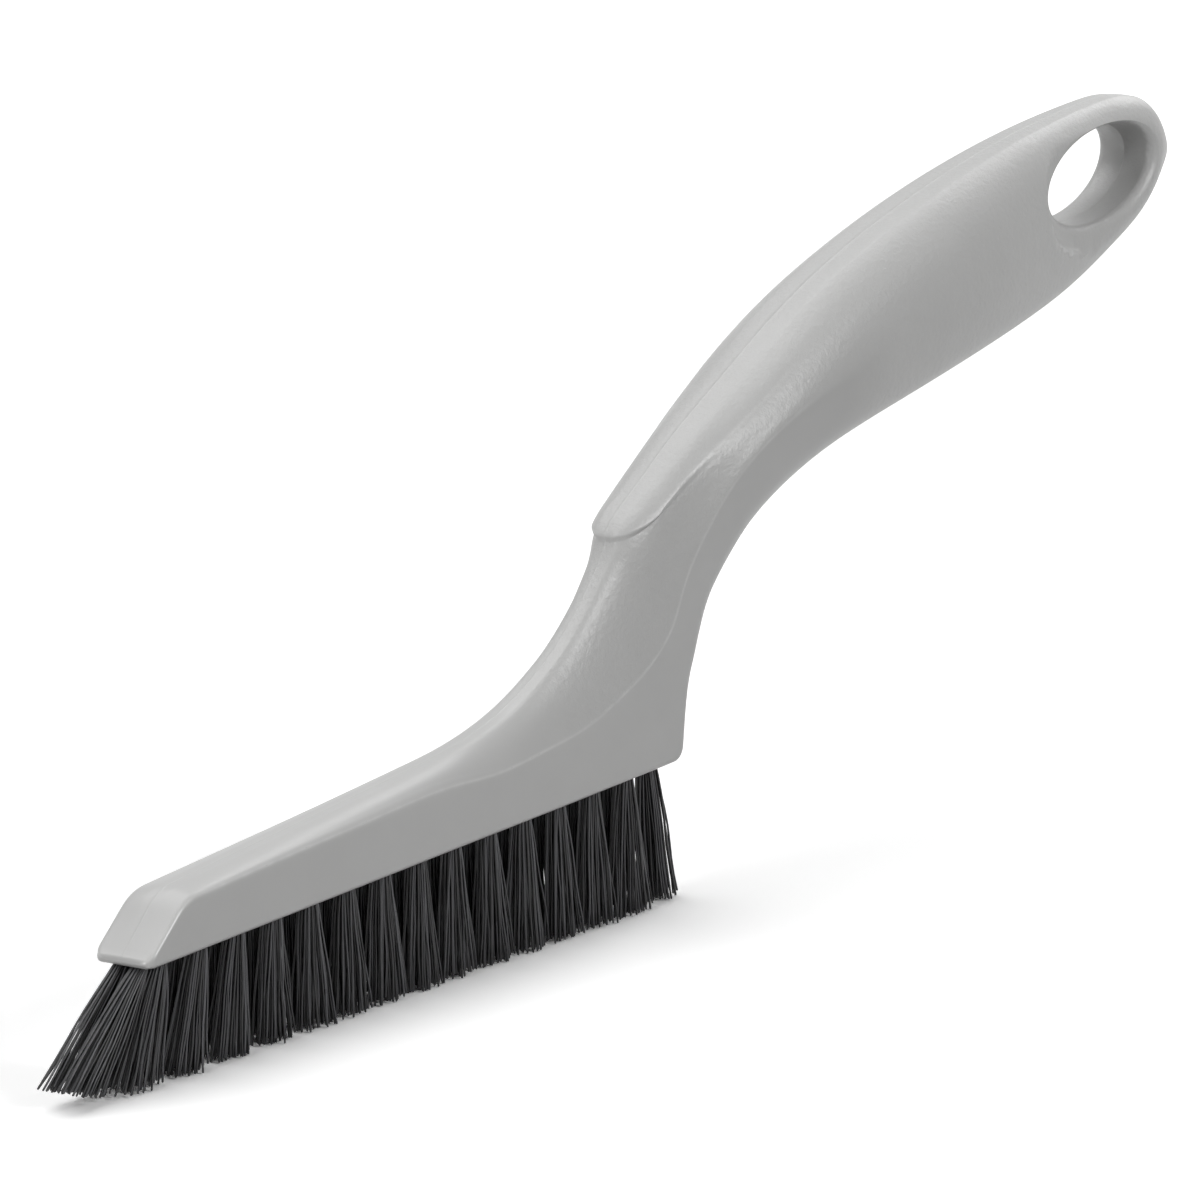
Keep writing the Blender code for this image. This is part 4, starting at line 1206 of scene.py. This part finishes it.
def filament_material():
    """Charcoal filament, each one a little different, duller and paler at its cut tip."""
    material, tree, shader, place = new_material("charcoal_filament")
    each = tree.nodes.new("ShaderNodeNewGeometry").outputs["Random Per Island"]
    up = add_node(tree, "ShaderNodeSeparateXYZ", Vector=place).outputs["Z"]
    streak = noise(tree, stretched(tree, place, (1.0, 1.0, 0.08)), 0.12 * MM, 2.0)
    dust = noise(tree, place, 1.5 * MM, 3.0)
    base = tinted(
        tree, shade(FILAMENT_COLOR, 0.4), FILAMENT_COLOR,
        (maths(tree, "POWER", each, 3.0), 6.0),
        (ramp(tree, streak, 0.35, 0.7, 0.0, 0.45), 2.0),
        (ramp(tree, up, 0.0, 1.2 * MM, 0.45, 0.0), 3.0),
    )
    rough = ramp(tree, each, 0.0, 1.0, *FILAMENT_ROUGH)
    rough = maths(tree, "ADD", rough, ramp(tree, dust, 0.3, 0.7, -0.04, 0.08))
    set_inputs(
        tree, shader, Base_Color=base, Roughness=rough, Normal=bump(tree, streak, 0.01 * MM, 0.4),
        Specular_IOR_Level=0.5,
    )
    return material


def brass_material():
    """Drawn brass wire, with fine lengthwise scratches and darker stains."""
    material, tree, shader, place = new_material("drawn_brass")
    scratch = noise(tree, stretched(tree, place, (0.1, 1.0, 1.0)), 0.05 * MM, 3.0)
    stain = ramp(tree, noise(tree, place, 0.6 * MM, 3.0), 0.35, 0.7, 0.0, 1.0)
    base = tinted(tree, shade(BRASS_COLOR, 1.0), BRASS_COLOR, (stain, 0.6))
    set_inputs(
        tree, shader, Base_Color=base, Roughness=ramp(tree, scratch, 0.3, 0.7, *BRASS_ROUGH),
        Normal=bump(tree, scratch, 0.004 * MM, 0.5), Metallic=1.0,
    )
    return material


def seen_share(tree):
    """1 where a ray from the camera, a mirror or glass arrives, and 0 for light on the object."""
    path = tree.nodes.new("ShaderNodeLightPath")
    seen = 0.0
    for kind in ("Camera", "Glossy", "Transmission"):
        seen = maths(tree, "ADD", seen, path.outputs["Is %s Ray" % kind])
    return maths(tree, "MINIMUM", seen, 1.0)


def make_floor():
    """Plain pale floor at the level of the bristle tips."""
    form = bmesh.new()
    bmesh.ops.create_circle(form, cap_ends=True, segments=FLOOR_SIDES, radius=FLOOR_RADIUS)
    floor = add_object("floor", form_mesh("floor", form))
    material, tree, shader, _ = new_material("pale_floor")
    color = blend_color(tree, seen_share(tree), shade(WHITE, FLOOR_LIGHT), shade(WHITE, FLOOR_SEEN))
    set_inputs(tree, shader, Base_Color=color, Roughness=0.9, Specular_IOR_Level=0.0)
    floor.data.materials.append(material)


def make_world():
    """White surroundings for the camera, and a soft even fill for the object."""
    world = bpy.data.worlds.new("studio")
    bpy.context.scene.world = world
    world.use_nodes = True
    tree = world.node_tree
    share = seen_share(tree)
    color = blend_color(tree, share, shade(WHITE, SURROUND_LIGHT), shade(WHITE, SURROUND_SEEN))
    set_inputs(tree, tree.nodes["Background"], Color=color, Strength=1.0)


def direction(turn, rise):
    """Unit vector out to a turn round the brush, from its right side, and a rise."""
    level = math.cos(rise)
    return Vector((math.sin(turn) * level, -math.cos(turn) * level, math.sin(rise)))


def add_lamp(name, turn, rise, width, share):
    """A wide soft lamp far away. Its share of full light is what it gives a face turned to it."""
    lamp = bpy.data.lights.new(name, "SUN")
    lamp.angle = width
    lamp.energy = share * math.pi
    item = add_object(name, lamp)
    item.rotation_mode = "QUATERNION"
    item.rotation_quaternion = (-direction(turn, rise)).to_track_quat("-Z", "Y")


def make_camera(stand):
    """Camera at the photograph's place and angle."""
    data = bpy.data.cameras.new("camera")
    data.lens = CAMERA_LENS
    data.sensor_width = CAMERA_SENSOR
    data.clip_start, data.clip_end = CAMERA_CLIP
    camera = add_object("camera", data)
    right = Vector((math.cos(CAMERA_TURN), math.sin(CAMERA_TURN), 0.0))
    back = direction(CAMERA_TURN, CAMERA_RISE)
    up = back.cross(right)
    cos_roll = math.cos(CAMERA_ROLL)
    sin_roll = math.sin(CAMERA_ROLL)
    rolled_right = right * cos_roll - up * sin_roll
    rolled_up = right * sin_roll + up * cos_roll
    turn = Matrix((rolled_right, rolled_up, back)).transposed().to_4x4()
    camera.matrix_world = stand @ Matrix.Translation(CAMERA_PLACE) @ turn
    bpy.context.scene.camera = camera


def main():
    stand = stand_matrix()
    handle = make_handle(stand)
    handle.data.materials.clear()
    handle.data.materials.append(plastic_material())
    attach(handle, "root")
    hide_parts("handle")
    filament = filament_material()
    for number, tuft in enumerate(tuft_list()):
        rng = np.random.default_rng(FIRST_SEED + number)
        paths = filament_paths(tuft, rng)
        name = tuft["name"] + "_filaments"
        mesh = filament_mesh(name, paths, rng)
        mesh.transform(stand)
        mesh.materials.append(filament)
        item = add_object(name, mesh)
        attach(item, "root")
        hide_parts(tuft["name"])
    brass = brass_material()
    for name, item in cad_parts.items():
        if name.startswith("anchor"):
            item.data.materials.clear()
            item.data.materials.append(brass)
    make_floor()
    make_world()
    for name, turn, rise, width, share in LAMPS:
        add_lamp(name, math.radians(turn), math.radians(rise), math.radians(width), share)
    make_camera(stand)
    bpy.context.scene.view_settings.view_transform = "Standard"


main()
